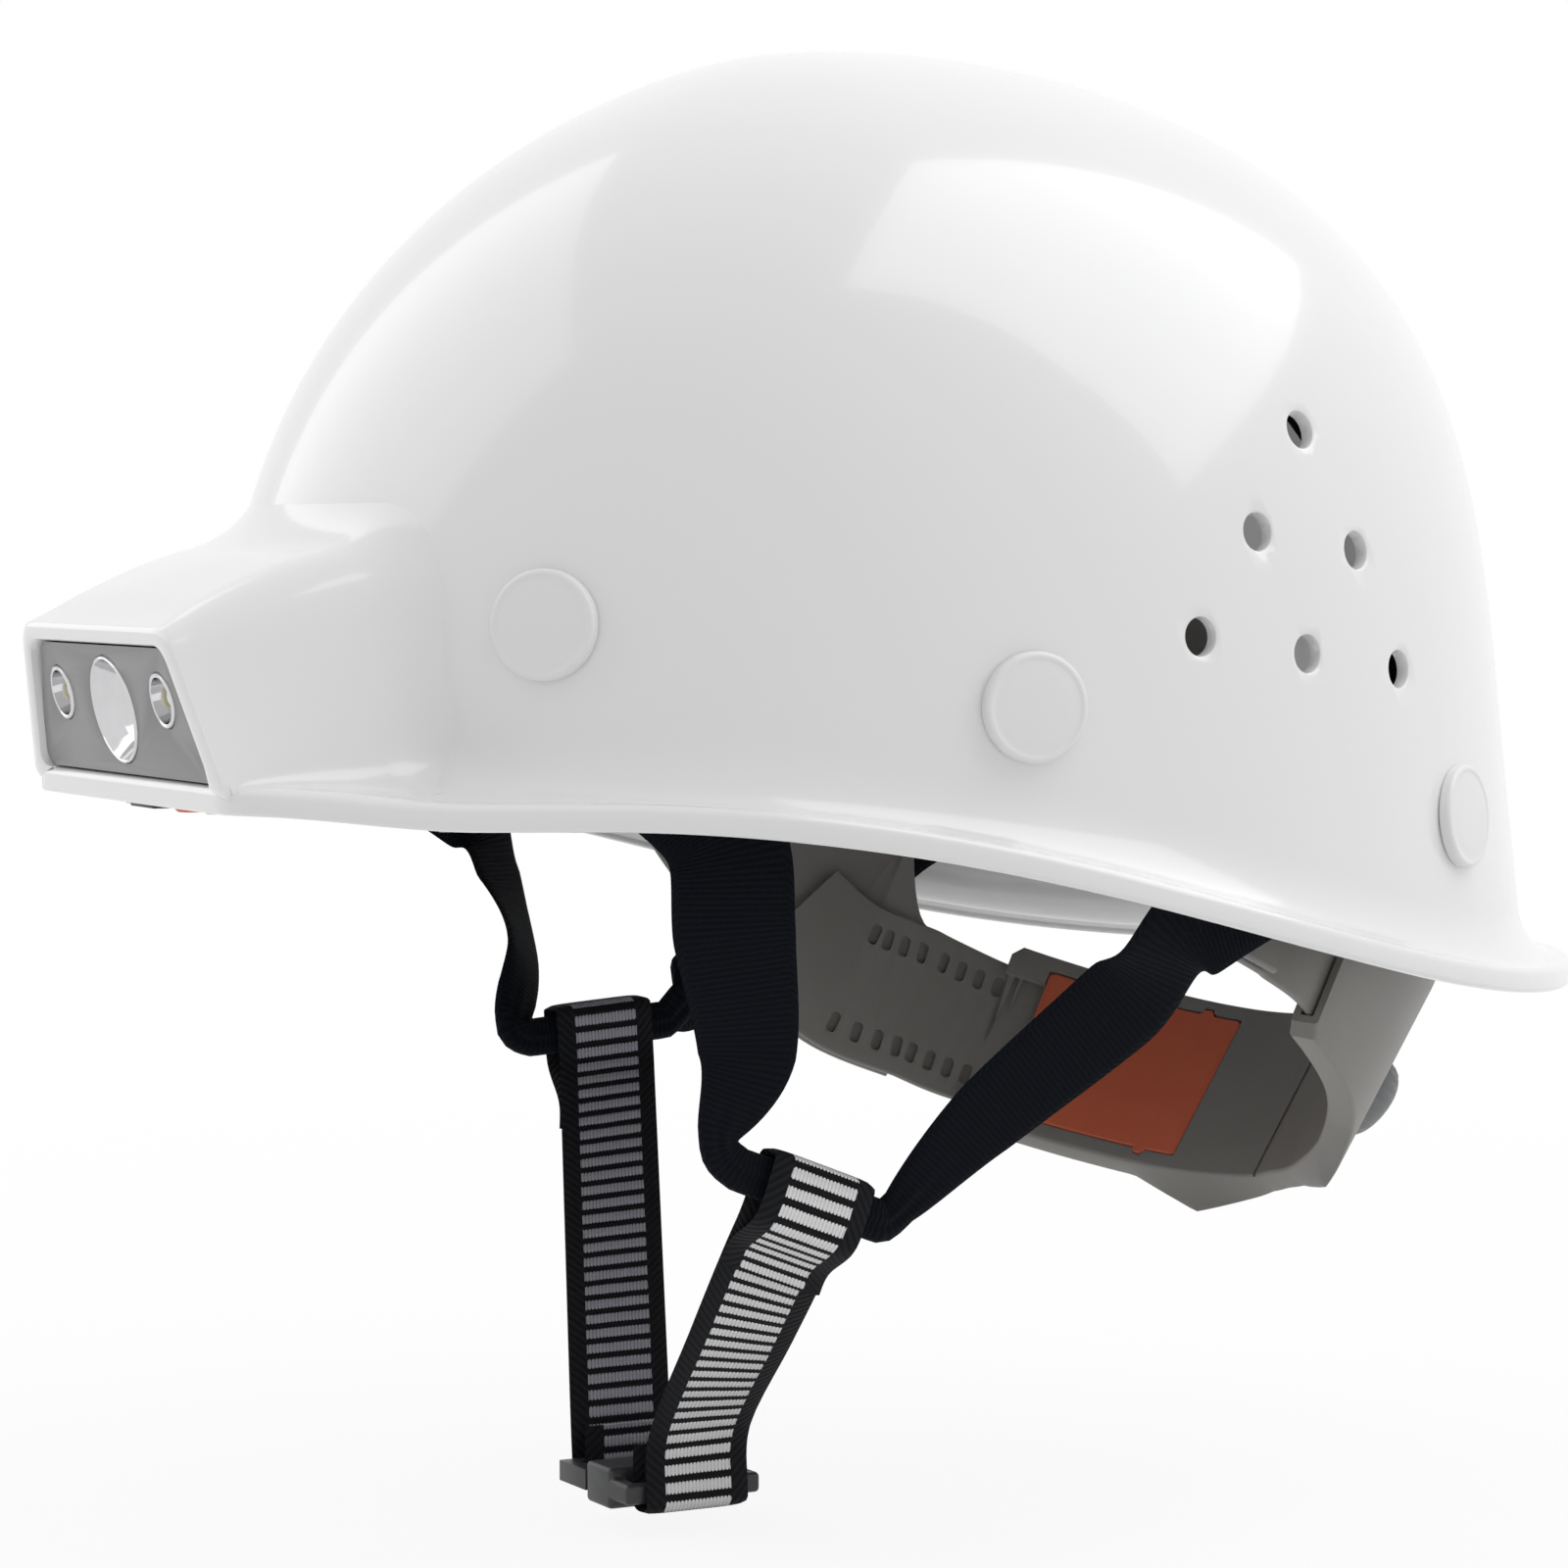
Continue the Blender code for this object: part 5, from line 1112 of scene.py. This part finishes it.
def makeHeadband():
    route = bandRoute()
    ups = [Vector((0, 0, 1))] * len(route)
    highs = []
    for point in route:
        rise = smoothStep(point.y, band["earStart"], band["earStart"] + band["earBlend"])
        fall = 1 - smoothStep(point.y, band["earEnd"] - band["earBlend"], band["earEnd"])
        highs.append(band["height"] / 2 + band["earRise"] * rise * fall)
    lows = [band["height"] / 2] * len(route)
    sections = frames(route, ups, 0.0)
    piece = strip("headband_strip", sections, highs, lows, band["thick"], 0.7 * mm)
    settle(piece, "headband", bandGrey, "grey_plastic", "headband")
    middle = len(route) // 2
    reach = 5 * band["perSpan"] // 3
    pad = sections[middle - reach:middle + reach + 1]
    shift = -(band["thick"] / 2 + band["fit"] + band["padThick"] / 2)
    rows = []
    for place, (point, _, up, out) in enumerate(pad):
        ends = min(place, len(pad) - 1 - place) / 5
        full = math.sqrt(max(1 - (1 - min(ends, 1.0)) ** 2, 0.02))
        half = band["padHeight"] / 2 - 2.5 * mm * (1 - full)
        row = []
        for step in range(33):
            turn = 2 * math.pi * step / 32
            x, y = math.cos(turn), math.sin(turn)
            a = math.copysign(abs(x) ** 0.55, x) * band["padThick"] / 2 * (0.35 + 0.65 * full)
            b = math.copysign(abs(y) ** 0.45, y) * half
            row.append(hang(point + out * (a + shift) + up * b))
        rows.append(row)
    piece = sheet("sweatband_pad", rows, smooth=60)
    settle(piece, "headband", padCloth, "black_foam", "sweatband")


def slotCutter(sections):
    cutters = []
    route = [section[0] for section in sections]
    for slot in range(band["slots"]):
        centre, place = walk(route, band["slotStart"] + slot * band["slotPitch"])
        _, along, up, out = sections[place]
        for row in (-band["slotRow"], band["slotRow"]):
            outline = roundedSection(band["slotLength"] / 2, band["slotHeight"] / 2, band["slotHeight"] / 2,
                                     0.9 * mm)
            rows = [[hang(centre + along * a + up * (row + b) + out * depth) for a, b in outline]
                    for depth in (-2 * band["tailThick"], band["tailThick"] / 2 - band["slotFloor"])]
            cutters.append(sheet("slot", rows))
    return joined(cutters)


def makeTails():
    for sideName, side in sides.items():
        route = tailRoute(side)
        route = route[:len(route) - int(1.25 * band["perSpan"])]
        sections = frames(route, tailUps(route), band["centre"])
        half = [band["tailHeight"] / 2] * len(route)
        piece = strip(f"tail_{sideName}", sections, half, half, band["tailThick"], 0.6 * mm)
        cutAway(piece, slotCutter(sections))
        smoothBy(piece, 35)
        piece.data.materials.append(bandGrey)
        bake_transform(piece)
        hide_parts(f"size_tail_{sideName}")


def innerPlate(name, start, stop, half, near, far, corner, tab=0.0):
    # a plate that follows the sleeve's inner wall, between two depths on the inside of its middle
    sections = sleeveSections()
    route = [section[0] for section in sections]
    rows = []
    steps = max(int((stop - start) / (0.5 * mm)), 2)
    for step in range(steps + 1):
        share = step / steps
        point, place = walk(route, start + (stop - start) * share)
        _, _, up, out = sections[place]
        tall = half + tab * smoothStep(share, 0.765, 0.78) * (1 - smoothStep(share, 0.825, 0.84))
        nip = corner * (1 - min(min(step, steps - step) / 2, 1.0))
        section = roundedSection((far - near) / 2 - nip * 0.5, tall - nip, tall - nip,
                                 min(corner, (far - near) * 0.45))
        rows.append([hang(point + out * (a - (near + far) / 2) + up * b) for a, b in section])
    return sheet(name, rows)


def makeNape():
    sections = sleeveSections()
    hole = band["tailThick"] / 2 + sleeve["play"]
    skin = hole + sleeve["wall"]
    room = band["tailHeight"] / 2 + band["fit"]
    tall = room + sleeve["edge"]
    travel = [0.0]
    for a, b in zip(sections, sections[1:]):
        travel.append(travel[-1] + (b[0] - a[0]).length)
    outside, inside = [], []
    middle = sections[len(sections) // 2][0]
    for (point, _, up, out), run in zip(sections, travel):
        near = min(run, travel[-1] - run) / sleeve["endRound"]
        drawn = sleeve["endRound"] * (1 - math.sqrt(1 - (1 - min(near, 1.0)) ** 2))
        past = abs((point - middle).length - sleeve["pointPlace"])
        hung = sleeve["point"] * max(0.0, 1 - past / sleeve["pointSpan"])
        shell = roundedSection(skin, tall - drawn, tall - drawn, 0.9 * mm)
        bore = roundedSection(hole, room, room, 0.4 * mm)
        row = []
        for a, b in shell:
            drop = hung * smoothStep(a, 0, skin) if b < 0 else 0.0
            row.append(hang(point + out * a + up * (b - drop)))
        outside.append(row)
        inside.append([hang(point + out * a + up * b) for a, b in bore])
    piece = sheet("nape_sleeve_shell", outside + inside[::-1] + outside[:1], ends=False)
    start, stop, half = key["start"], key["start"] + key["length"], key["height"] / 2
    gap = band["fit"]
    inner, outer, line = hole - 0.1 * mm, skin + 2 * mm, sleeve["groove"]
    grooveFloor = skin - 0.6 * mm
    cutAway(piece, innerPlate("window", start - gap, stop + gap, half + gap, inner, outer, 0.3 * mm, key["tab"]))
    cutAway(piece, innerPlate("slot_window", -3 * mm, start, sleeve["slotWindow"], inner, outer, 0.3 * mm))
    cutAway(piece, innerPlate("groove", line, line + 1.1 * mm, tall + 3 * mm, grooveFloor, outer, 0.2 * mm))
    smoothBy(piece, 35)
    settle(piece, "nape", bandGrey, "grey_plastic", "nape_sleeve")
    plate = innerPlate("lock_key_plate", start, stop, half, hole, skin, 0.5 * mm, key["tab"])
    settle(plate, "key", keyOrange, "orange_plastic", "lock_key")
    point, _, up, _ = sections[len(sections) // 2]
    out = Vector((0, 1, 0))
    out = (out - up * out.dot(up)).normalized()
    seat = hang(point + out * (skin + band["fit"]) + up * knob["rise"])
    axis = hangTurn(point.y) @ out
    radius, height = knob["diameter"] / 2, knob["height"]
    profile = [(0, 0), (radius * 0.75, 0), (radius * 0.90, height * 0.10), (radius * 0.96, height * 0.22),
               (radius, height * 0.45), (radius * 0.97, height * 0.68), (radius * 0.90, height * 0.84),
               (radius * 0.80, height * 0.94), (radius * 0.66, height), (radius * 0.50, height * 0.99),
               (radius * 0.42, height * 0.93), (0, height * 0.90)]
    piece = turned("nape_knob_grip", profile, seat, axis, 120)
    side = axis.cross(Vector((0, 0, 1))).normalized()
    rise = side.cross(axis)
    for corner in piece.data.vertices:
        arm = corner.co - seat
        along = axis * arm.dot(axis)
        arm -= along
        if arm.length > radius * 0.85:
            turn = math.atan2(arm.dot(rise), arm.dot(side))
            arm *= 1 - 0.045 * (0.5 + 0.5 * math.cos(knob["flutes"] * turn)) ** 3
            corner.co = seat + along + arm
    settle(piece, "knob", knobGrey, "grey_plastic", "nape_knob")


makeHeadband()
makeTails()
makeNape()
print("headband, tails, sleeve, key and knob")


# webbing

web = {"thick": 1.2 * mm, "crown": 20.0 * mm, "leg": 22.0 * mm, "chin": 22.0 * mm, "gatherWidth": 8.0 * mm,
       "gatherThick": 3.4 * mm, "crownGap": 34.0 * mm, "crownFlat": 19.0 * mm, "padDiameter": 62.0 * mm,
       "padThick": 6.0 * mm, "wallGap": 6.0 * mm, "loopFit": 0.8 * mm, "fit": 0.3 * mm, "step": 1.3 * mm,
       "above": 8.0 * mm, "below": -9.0 * mm, "pleat": 0.22, "pleats": 9.0}


def evenRoute(route, values, step):
    # the route again at an even pitch, with each list of values carried along it
    travel = [0.0]
    for a, b in zip(route, route[1:]):
        travel.append(travel[-1] + (b - a).length)
    count = max(int(travel[-1] / step), 8)
    spots = [travel[-1] * k / count for k in range(count + 1)]
    found = [[] for _ in range(len(values) + 1)]
    place = 0
    for spot in spots:
        while place < len(travel) - 2 and travel[place + 1] < spot:
            place += 1
        span = travel[place + 1] - travel[place]
        t = (spot - travel[place]) / span if span else 0.0
        found[0].append(route[place].lerp(route[place + 1], t))
        for k, line in enumerate(values):
            a, b = line[place], line[place + 1]
            found[k + 1].append(a.lerp(b, t) if isinstance(a, Vector) else a + (b - a) * t)
    return found, spots


def strap(name, route, across, widths, thicks, flatWidth, square=True):
    # a woven strip: its map keeps the flat width where it is gathered, and its weave may lie askew
    (route, across, widths, thicks), travel = evenRoute(route, [across, widths, thicks], web["step"])
    rows, spots = [], []
    steps = 16
    for point, along, side, width, thick, run in zip(route, tangents(route), across, widths, thicks, travel):
        side = (side - along * (side.dot(along) if square else 0.0)).normalized()
        face = side.cross(along).normalized()
        gather = smoothStep(thick, web["thick"] * 1.1, web["gatherThick"])
        power = 0.18 + 0.30 * gather
        row, spot = [], []
        for upper in (1, -1):
            for step in range(steps + 1):
                share = ((step / steps) * 2 - 1) * upper
                edge = max(1 - abs(share) ** (6 - 3.6 * gather), 0.0) ** (0.5 if gather < 0.5 else power)
                pleat = web["pleat"] * gather * math.cos(share * web["pleats"] + upper)
                lift = edge * thick / 2 * (1 + pleat * (1 - abs(share)))
                row.append(point + side * (share * width / 2) + face * (upper * lift))
                spot.append((share * flatWidth / 2, run))
        row.append(row[0])
        spot.append(spot[0])
        rows.append(row)
        spots.append(spot)
    return sheet(name, rows, spots, smooth=60)


def acrossFrom(route, normals):
    return [along.cross(normal).normalized() for along, normal in zip(tangents(route), normals)]


def hangerFace(place, side):
    point, out, level, rise = capFrame(place, side)
    return point - out * (dome["wall"] + hanger["sag"] + hanger["fit"] + hanger["thick"]), out, level, rise


def stackPoint(place, side, layer, along):
    face, out, _, rise = hangerFace(place, side)
    return face - out * (web["fit"] + web["thick"] / 2 + layer * (web["thick"] + web["fit"])) + rise * along


def crownLevel():
    return domePoint(0, 0.9995).z - dome["wall"] - web["crownGap"]


def crownHalf(place, side, layer):
    start = stackPoint(place, side, 0, web["below"])
    bend = stackPoint(place, side, 0, 10 * mm)
    _, out, _, _ = hangerFace(place, side)
    level = crownLevel() + layer * (web["thick"] + web["fit"])
    top = Vector((bend.x, bend.y, 0)).normalized() * web["crownFlat"] + Vector((0, 0, level))
    route, normals = [start], [out]
    steps = 28
    for step in range(steps + 1):
        turn = math.pi / 2 * step / steps
        across, rise = 1 - math.cos(turn), math.sin(turn)
        route.append(Vector((bend.x + (top.x - bend.x) * across, bend.y + (top.y - bend.y) * across,
                             bend.z + (top.z - bend.z) * rise)))
        normals.append((out * math.cos(turn) + Vector((0, 0, 1)) * math.sin(turn)).normalized())
    return route + [Vector((0, 0, level))], normals + [Vector((0, 0, 1))]


def makeCrown():
    pairs = {"across": ("middle", "middle"), "slant_left": ("front", "rear"), "slant_right": ("rear", "front")}
    for layer, (name, (left, right)) in enumerate(pairs.items()):
        route, normals = crownHalf(left, 1.0, layer)
        other, otherNormals = crownHalf(right, -1.0, layer)
        route += other[-2::-1]
        normals += otherNormals[-2::-1]
        count = len(route)
        piece = strap(f"crown_web_{name}", route, acrossFrom(route, normals), [web["crown"]] * count,
                      [web["thick"]] * count, web["crown"])
        settle(piece, "helmet", webbingBlack, "black_webbing", f"crown_strap_{name}")
    top = crownLevel() - web["thick"] / 2 - web["fit"]
    radius = web["padDiameter"] / 2
    thick = web["padThick"]
    dish = (radius - web["crownFlat"]) * 0.2
    profile = [(0, -thick - 0.4 * mm), (radius * 0.3, -thick - 0.4 * mm), (radius * 0.55, -thick - dish * 0.25),
               (radius * 0.75, -thick - dish * 0.6), (radius * 0.9, -thick - dish * 0.85),
               (radius * 0.97, -thick * 0.8 - dish), (radius, -thick * 0.5 - dish),
               (radius * 0.985, -thick * 0.25 - dish * 1.1), (radius * 0.93, -dish * 1.05),
               (radius * 0.75, -dish * 0.45), (web["crownFlat"] * 0.9, 0), (0, 0)]
    pad = turned("crown_pad_cushion", profile, (0, 0, top), (0, 0, 1), 64, smooth=60)
    settle(pad, "helmet", padCloth, "black_foam", "crown_pad")


def makeDrops():
    route = bandRoute()
    alongs = tangents(route)
    for sideName, side in sides.items():
        for place in ("front", "middle"):
            layer = 3 if place == "front" else 1
            start = stackPoint(place, side, layer, web["above"])
            leave = stackPoint(place, side, layer, web["below"])
            _, _, level, rise = hangerFace(place, side)
            coarse = list(range(0, len(route), band["perSpan"] // 3))
            nearest = min(coarse, key=lambda k: (route[k].xy - leave.xy).length)
            outwards = alongs[nearest].cross(Vector((0, 0, 1))).normalized()
            if outwards.dot(Vector((route[nearest].x, route[nearest].y, 0))) < 0:
                outwards.negate()
            centre = route[nearest] + outwards * (band["thick"] / 2 + 3 * web["fit"] + web["thick"] / 2)
            arrive = hang(centre)
            finish = hang(centre - Vector((0, 0, band["height"] * 0.4)))
            along = hangTurn(centre.y) @ alongs[nearest]
            if along.dot(level) < 0:
                along.negate()
            points, across = [start, leave], [level, level]
            pull = max((leave - arrive).length * 0.5, 4 * mm)
            bend = arrive + outwards * pull * 0.4 + Vector((0, 0, pull))
            steps = 24
            for step in range(1, steps):
                t = step / steps
                early = leave * (1 - t) ** 3 + (leave - rise * pull) * 3 * t * (1 - t) ** 2
                late = bend * 3 * t * t * (1 - t) + arrive * t**3
                points.append(early + late)
                across.append(level.lerp(along, t))
            points += [arrive, finish]
            across += [along, along]
            count = len(points)
            width = web["crown"] * 0.8
            piece = strap(f"drop_web_{sideName}_{place}", points, across, [width] * count,
                          [web["thick"]] * count, width)
            piece.data.materials.clear()
            piece.data.materials.append(webbingBlack)
            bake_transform(piece)
            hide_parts(f"drop_strap_{sideName}_{place}")


legs = {
    "left": {"front": -41.0, "rear": 11.5, "inside": 32.0, "down": [(0.752, -67, -14), (0.724, -63, -36)],
             "loop": (0.686, -48, -62.5), "slope": -21.5, "up": [(0.743, -15, -50), (0.838, 9.5, -28)],
             "turns": {"front": 20, "down": (29, 25), "up": (-8, -14), "rear": -20}},
    "right": {"front": -25.0, "rear": 26.0, "inside": 38.0, "down": [(-0.838, -36, -14), (-0.762, -34, -30)],
              "loop": (-0.686, -20.3, -46.5), "slope": 4.0, "up": [(-0.762, 4, -41), (-0.867, 32, -29)],
              "turns": {"front": 25, "down": (41, 41), "up": (0, 0), "rear": 0}},
}


def loopFrame(sideName):
    plan = legs[sideName]
    slope = math.radians(plan["slope"])
    along = Vector((0, math.cos(slope), math.sin(slope)))
    return routePoint(plan["loop"]), along, Vector((0, -math.sin(slope), math.cos(slope)))


def makeLegs():
    for sideName, side in sides.items():
        plan = legs[sideName]
        lateral = Vector((side, 0, 0))
        turns = plan["turns"]

        def facing(degrees):
            turn = math.radians(degrees)
            return Vector((side * math.cos(turn), -math.sin(turn), 0))

        loop, along, _ = loopFrame(sideName)
        inset = dome["wall"] + web["wallGap"]
        levels = {name: lipLevel(wallAt(plan[name], 0, inset, side).y) for name in ("front", "rear", "inside")}
        front = wallAt(plan["front"], levels["front"], inset, side)
        rear = wallAt(plan["rear"], levels["rear"], inset, side)
        inside = wallAt(plan["inside"], levels["inside"] + 20 * mm, inset, side)
        leave = stackPoint("front", side, 1, web["below"])
        between = wallAt((plan["front"] + caps["spots"]["front"][0]) / 2, (leave.z + front.z) / 2, inset, side)
        _, frontOut, _, _ = hangerFace("front", side)
        _, rearOut, _, _ = hangerFace("rear", side)
        flat = web["chin"] / 2 + 5 * mm
        wide, slim, thin, fat = web["leg"], web["gatherWidth"], web["thick"], web["gatherThick"]
        lift = Vector((0, 0, 4 * mm))
        stops = [
            (stackPoint("front", side, 1, web["above"]), frontOut, wide, thin),
            (leave, frontOut, wide, thin),
            (between, frontOut.lerp(lateral, 0.25), wide, thin),
            (front, frontOut.lerp(facing(turns["front"]), 0.5), wide, thin),
            (routePoint(plan["down"][0]), facing(turns["down"][0]), wide, thin),
            (routePoint(plan["down"][1]), facing(turns["down"][1]), wide * 0.8, thin),
            (loop - along * (flat + 4 * mm) + lift, lateral, slim, fat),
            (loop - along * flat, lateral, slim, fat),
            (loop + along * flat, lateral, slim, fat),
            (loop + along * (flat + 4 * mm) + lift, lateral, slim, fat),
            (routePoint(plan["up"][0]), facing(turns["up"][0]), wide * 0.75, thin),
            (routePoint(plan["up"][1]), facing(turns["up"][1]), wide, thin),
            (rear, facing(turns["rear"]), wide, thin),
            (inside, rearOut.lerp(lateral, 0.5), wide * 0.9, thin),
            (stackPoint("rear", side, 1, web["below"]), rearOut, wide * 0.9, thin),
            (stackPoint("rear", side, 1, web["above"]), rearOut, wide * 0.9, thin),
        ]
        perSpan = 14
        route, normals, widths, thicks = [], [], [], []
        for run in (stops[:1], stops[1:8], stops[8:-1], stops[-1:]):
            route += smoothRoute([stop[0] for stop in run], perSpan)
            normals += smoothRoute([stop[1] for stop in run], perSpan)
            widths += evenValues([stop[2] for stop in run], perSpan)
            thicks += evenValues([stop[3] for stop in run], perSpan)
        piece = strap(f"leg_web_{sideName}", route, acrossFrom(route, normals), widths, thicks, web["leg"])
        settle(piece, "helmet", webbingBlack, "black_webbing", f"leg_strap_{sideName}")


buckle = {"place": (0.0, -42.5 * mm, -127.0 * mm), "half": 15.0 * mm, "bar": 3.0 * mm, "thick": 8.0 * mm}


def makeChins():
    half = web["thick"] / 2
    reach = web["gatherThick"] / 2 + web["loopFit"] + half
    corner = web["gatherWidth"] / 2
    slack = web["loopFit"] + half
    top = corner + slack
    bx, by, bz = buckle["place"]
    barLow = buckle["thick"] / 2 - 2 * mm
    for sideName, side in sides.items():
        loop, along, up = loopFrame(sideName)
        lateral = Vector((side, 0, 0))

        def local(a, b):
            return loop + lateral * a + up * b

        barEnd = Vector((bx + side * (buckle["half"] + web["loopFit"] + half), by, bz))
        inner = Vector((bx + side * (buckle["half"] - buckle["bar"] - web["loopFit"] - half), by, bz))
        under = Vector((0, 0, -(barLow + web["loopFit"] + half)))
        target = barEnd + Vector((side * mm, 0, 12 * mm))
        start = local(-reach, -top)
        run = (target - start).normalized()
        outwards = along.cross(run).normalized()
        if outwards.x * side < 0:
            outwards.negate()
        pile = web["thick"] + web["fit"]
        tail = [start + run * distance + outwards * pile for distance in (16 * mm, 9 * mm)]
        stops = tail + [
            local(reach, -top - mm), local(reach, corner), local(reach - slack * 0.3, corner + slack * 0.7),
            local(reach - slack, top), local(slack - reach, top),
            local(slack * 0.3 - reach, corner + slack * 0.7), local(-reach, corner), start,
            start + run * 9 * mm, start + run * 16 * mm, start.lerp(target, 0.55), target, barEnd,
            barEnd + under * 0.7, barEnd.lerp(inner, 0.25) + under, barEnd.lerp(inner, 0.75) + under,
            inner + under * 0.7, inner, inner + Vector((0, 0, 9 * mm))]
        # both layers of the sewn end lie square to the loop, and the bars turn level below them
        sewn = stops.index(target) - 2
        across = []
        for place in range(len(stops)):
            across.append(along.lerp(Vector((0, 1, 0)), smoothStep(place, sewn, sewn + 2)).normalized())
        perSpan = 5
        route = smoothRoute(stops, perSpan)
        across = smoothRoute(across, perSpan)
        count = len(route)
        piece = strap(f"chin_web_{sideName}", route, across, [web["chin"]] * count, [web["thick"]] * count,
                      web["chin"], square=False)
        # the right strap gets the copy whose bars are darkened with painted shade
        finish = webbingBarredNear if sideName == "left" else webbingBarredFarShaded
        if sideName == "left":
            settle(piece, "helmet", finish, "barred_webbing", "chin_strap_left")
        else:
            piece.data.materials.clear()
            piece.data.materials.append(finish)
            start + run * 16 * mm
            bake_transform(piece)
            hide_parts("chin_strap_right")


makeCrown()
makeDrops()
makeLegs()
makeChins()
for node, body in (("buckle_socket", "helmet"), ("buckle_prong", "prong")):
    settle(softened(node, 0.9 * mm, 3), body, buckleBlack, "black_plastic", node)
print("webbing and buckle")


# stage, light and camera

stage = {"floor": -0.1365, "size": 30.0, "nearFade": 0.30, "farFade": 0.90, "nearGlow": 0.90, "ambient": 0.60}


def makeStage():
    deselectAll()
    bpy.ops.mesh.primitive_plane_add(size=stage["size"], location=(0, 0, stage["floor"]))
    floor = bpy.context.object
    floor.name = "floor"
    finish = surface("floor_white", {"Roughness": 0.9, "Specular IOR Level": 0.0, "Base Color": (0.9, 0.9, 0.9, 1)})
    reach = finish.add("ShaderNodeVectorMath", {"operation": "LENGTH"}, {0: finish.spot()}, "Value")
    fade = finish.add("ShaderNodeMapRange", {"interpolation_type": "SMOOTHSTEP"},
                      {"Value": reach, "From Min": stage["nearFade"], "From Max": stage["farFade"],
                       "To Min": stage["nearGlow"]})
    glow = finish.add("ShaderNodeEmission", {}, {"Color": (1, 1, 1, 1), "Strength": 1.0})
    plain = Wire(finish, finish.shader.outputs["BSDF"])
    mix = finish.add("ShaderNodeMixShader", {}, {0: fade * finish.looking(), 1: plain, 2: glow})
    finish.feed(finish.tree.nodes["Material Output"].inputs["Surface"], mix)
    floor.data.materials.append(finish.owner)
    world = bpy.data.worlds.new("studio")
    bpy.context.scene.world = world
    sky = Finish(world, "Background", {})
    level = stage["ambient"] + sky.looking() * (1 - stage["ambient"])
    sky.set(Color=(1, 1, 1, 1), Strength=level)


def softbox(name, place, facing, upward, size, power):
    light = bpy.data.lights.new(name, "AREA")
    light.shape = "RECTANGLE"
    light.size, light.size_y = size
    light.energy = power
    lampObject = bpy.data.objects.new(name, light)
    bpy.context.scene.collection.objects.link(lampObject)
    lampObject.location = place
    away = -Vector(facing).normalized()
    sideways = Vector(upward).cross(away).normalized()
    lampObject.rotation_euler = Matrix((sideways, away.cross(sideways), away)).transposed().to_euler()


camera = {"place": (0.8293, -0.4597, 0.0580), "lens": 109.65, "sensor": 36.0, "shiftX": -0.0413, "shiftY": 0.0252}


def makeCamera():
    data = bpy.data.cameras.new("photo_view")
    data.lens, data.sensor_width = camera["lens"], camera["sensor"]
    data.shift_x, data.shift_y = camera["shiftX"], camera["shiftY"]
    piece = bpy.data.objects.new("photo_view", data)
    bpy.context.scene.collection.objects.link(piece)
    piece.location = camera["place"]
    piece.rotation_euler = (-Vector(camera["place"])).to_track_quat("-Z", "Y").to_euler()
    bpy.context.scene.camera = piece


makeStage()
softbox("overhead", (0.27, 0.615, 1.286), (-0.72, -0.60, -0.34), (0.08, -0.56, 0.82), (1.5, 1.6), 13)
softbox("front", (-0.75, -0.75, 0.65), (0.75, 0.75, -0.60), (0, 0, 1), (1.46, 1.2), 4.5)
makeCamera()
bpy.context.scene.view_settings.view_transform = "Standard"
print("stage set")
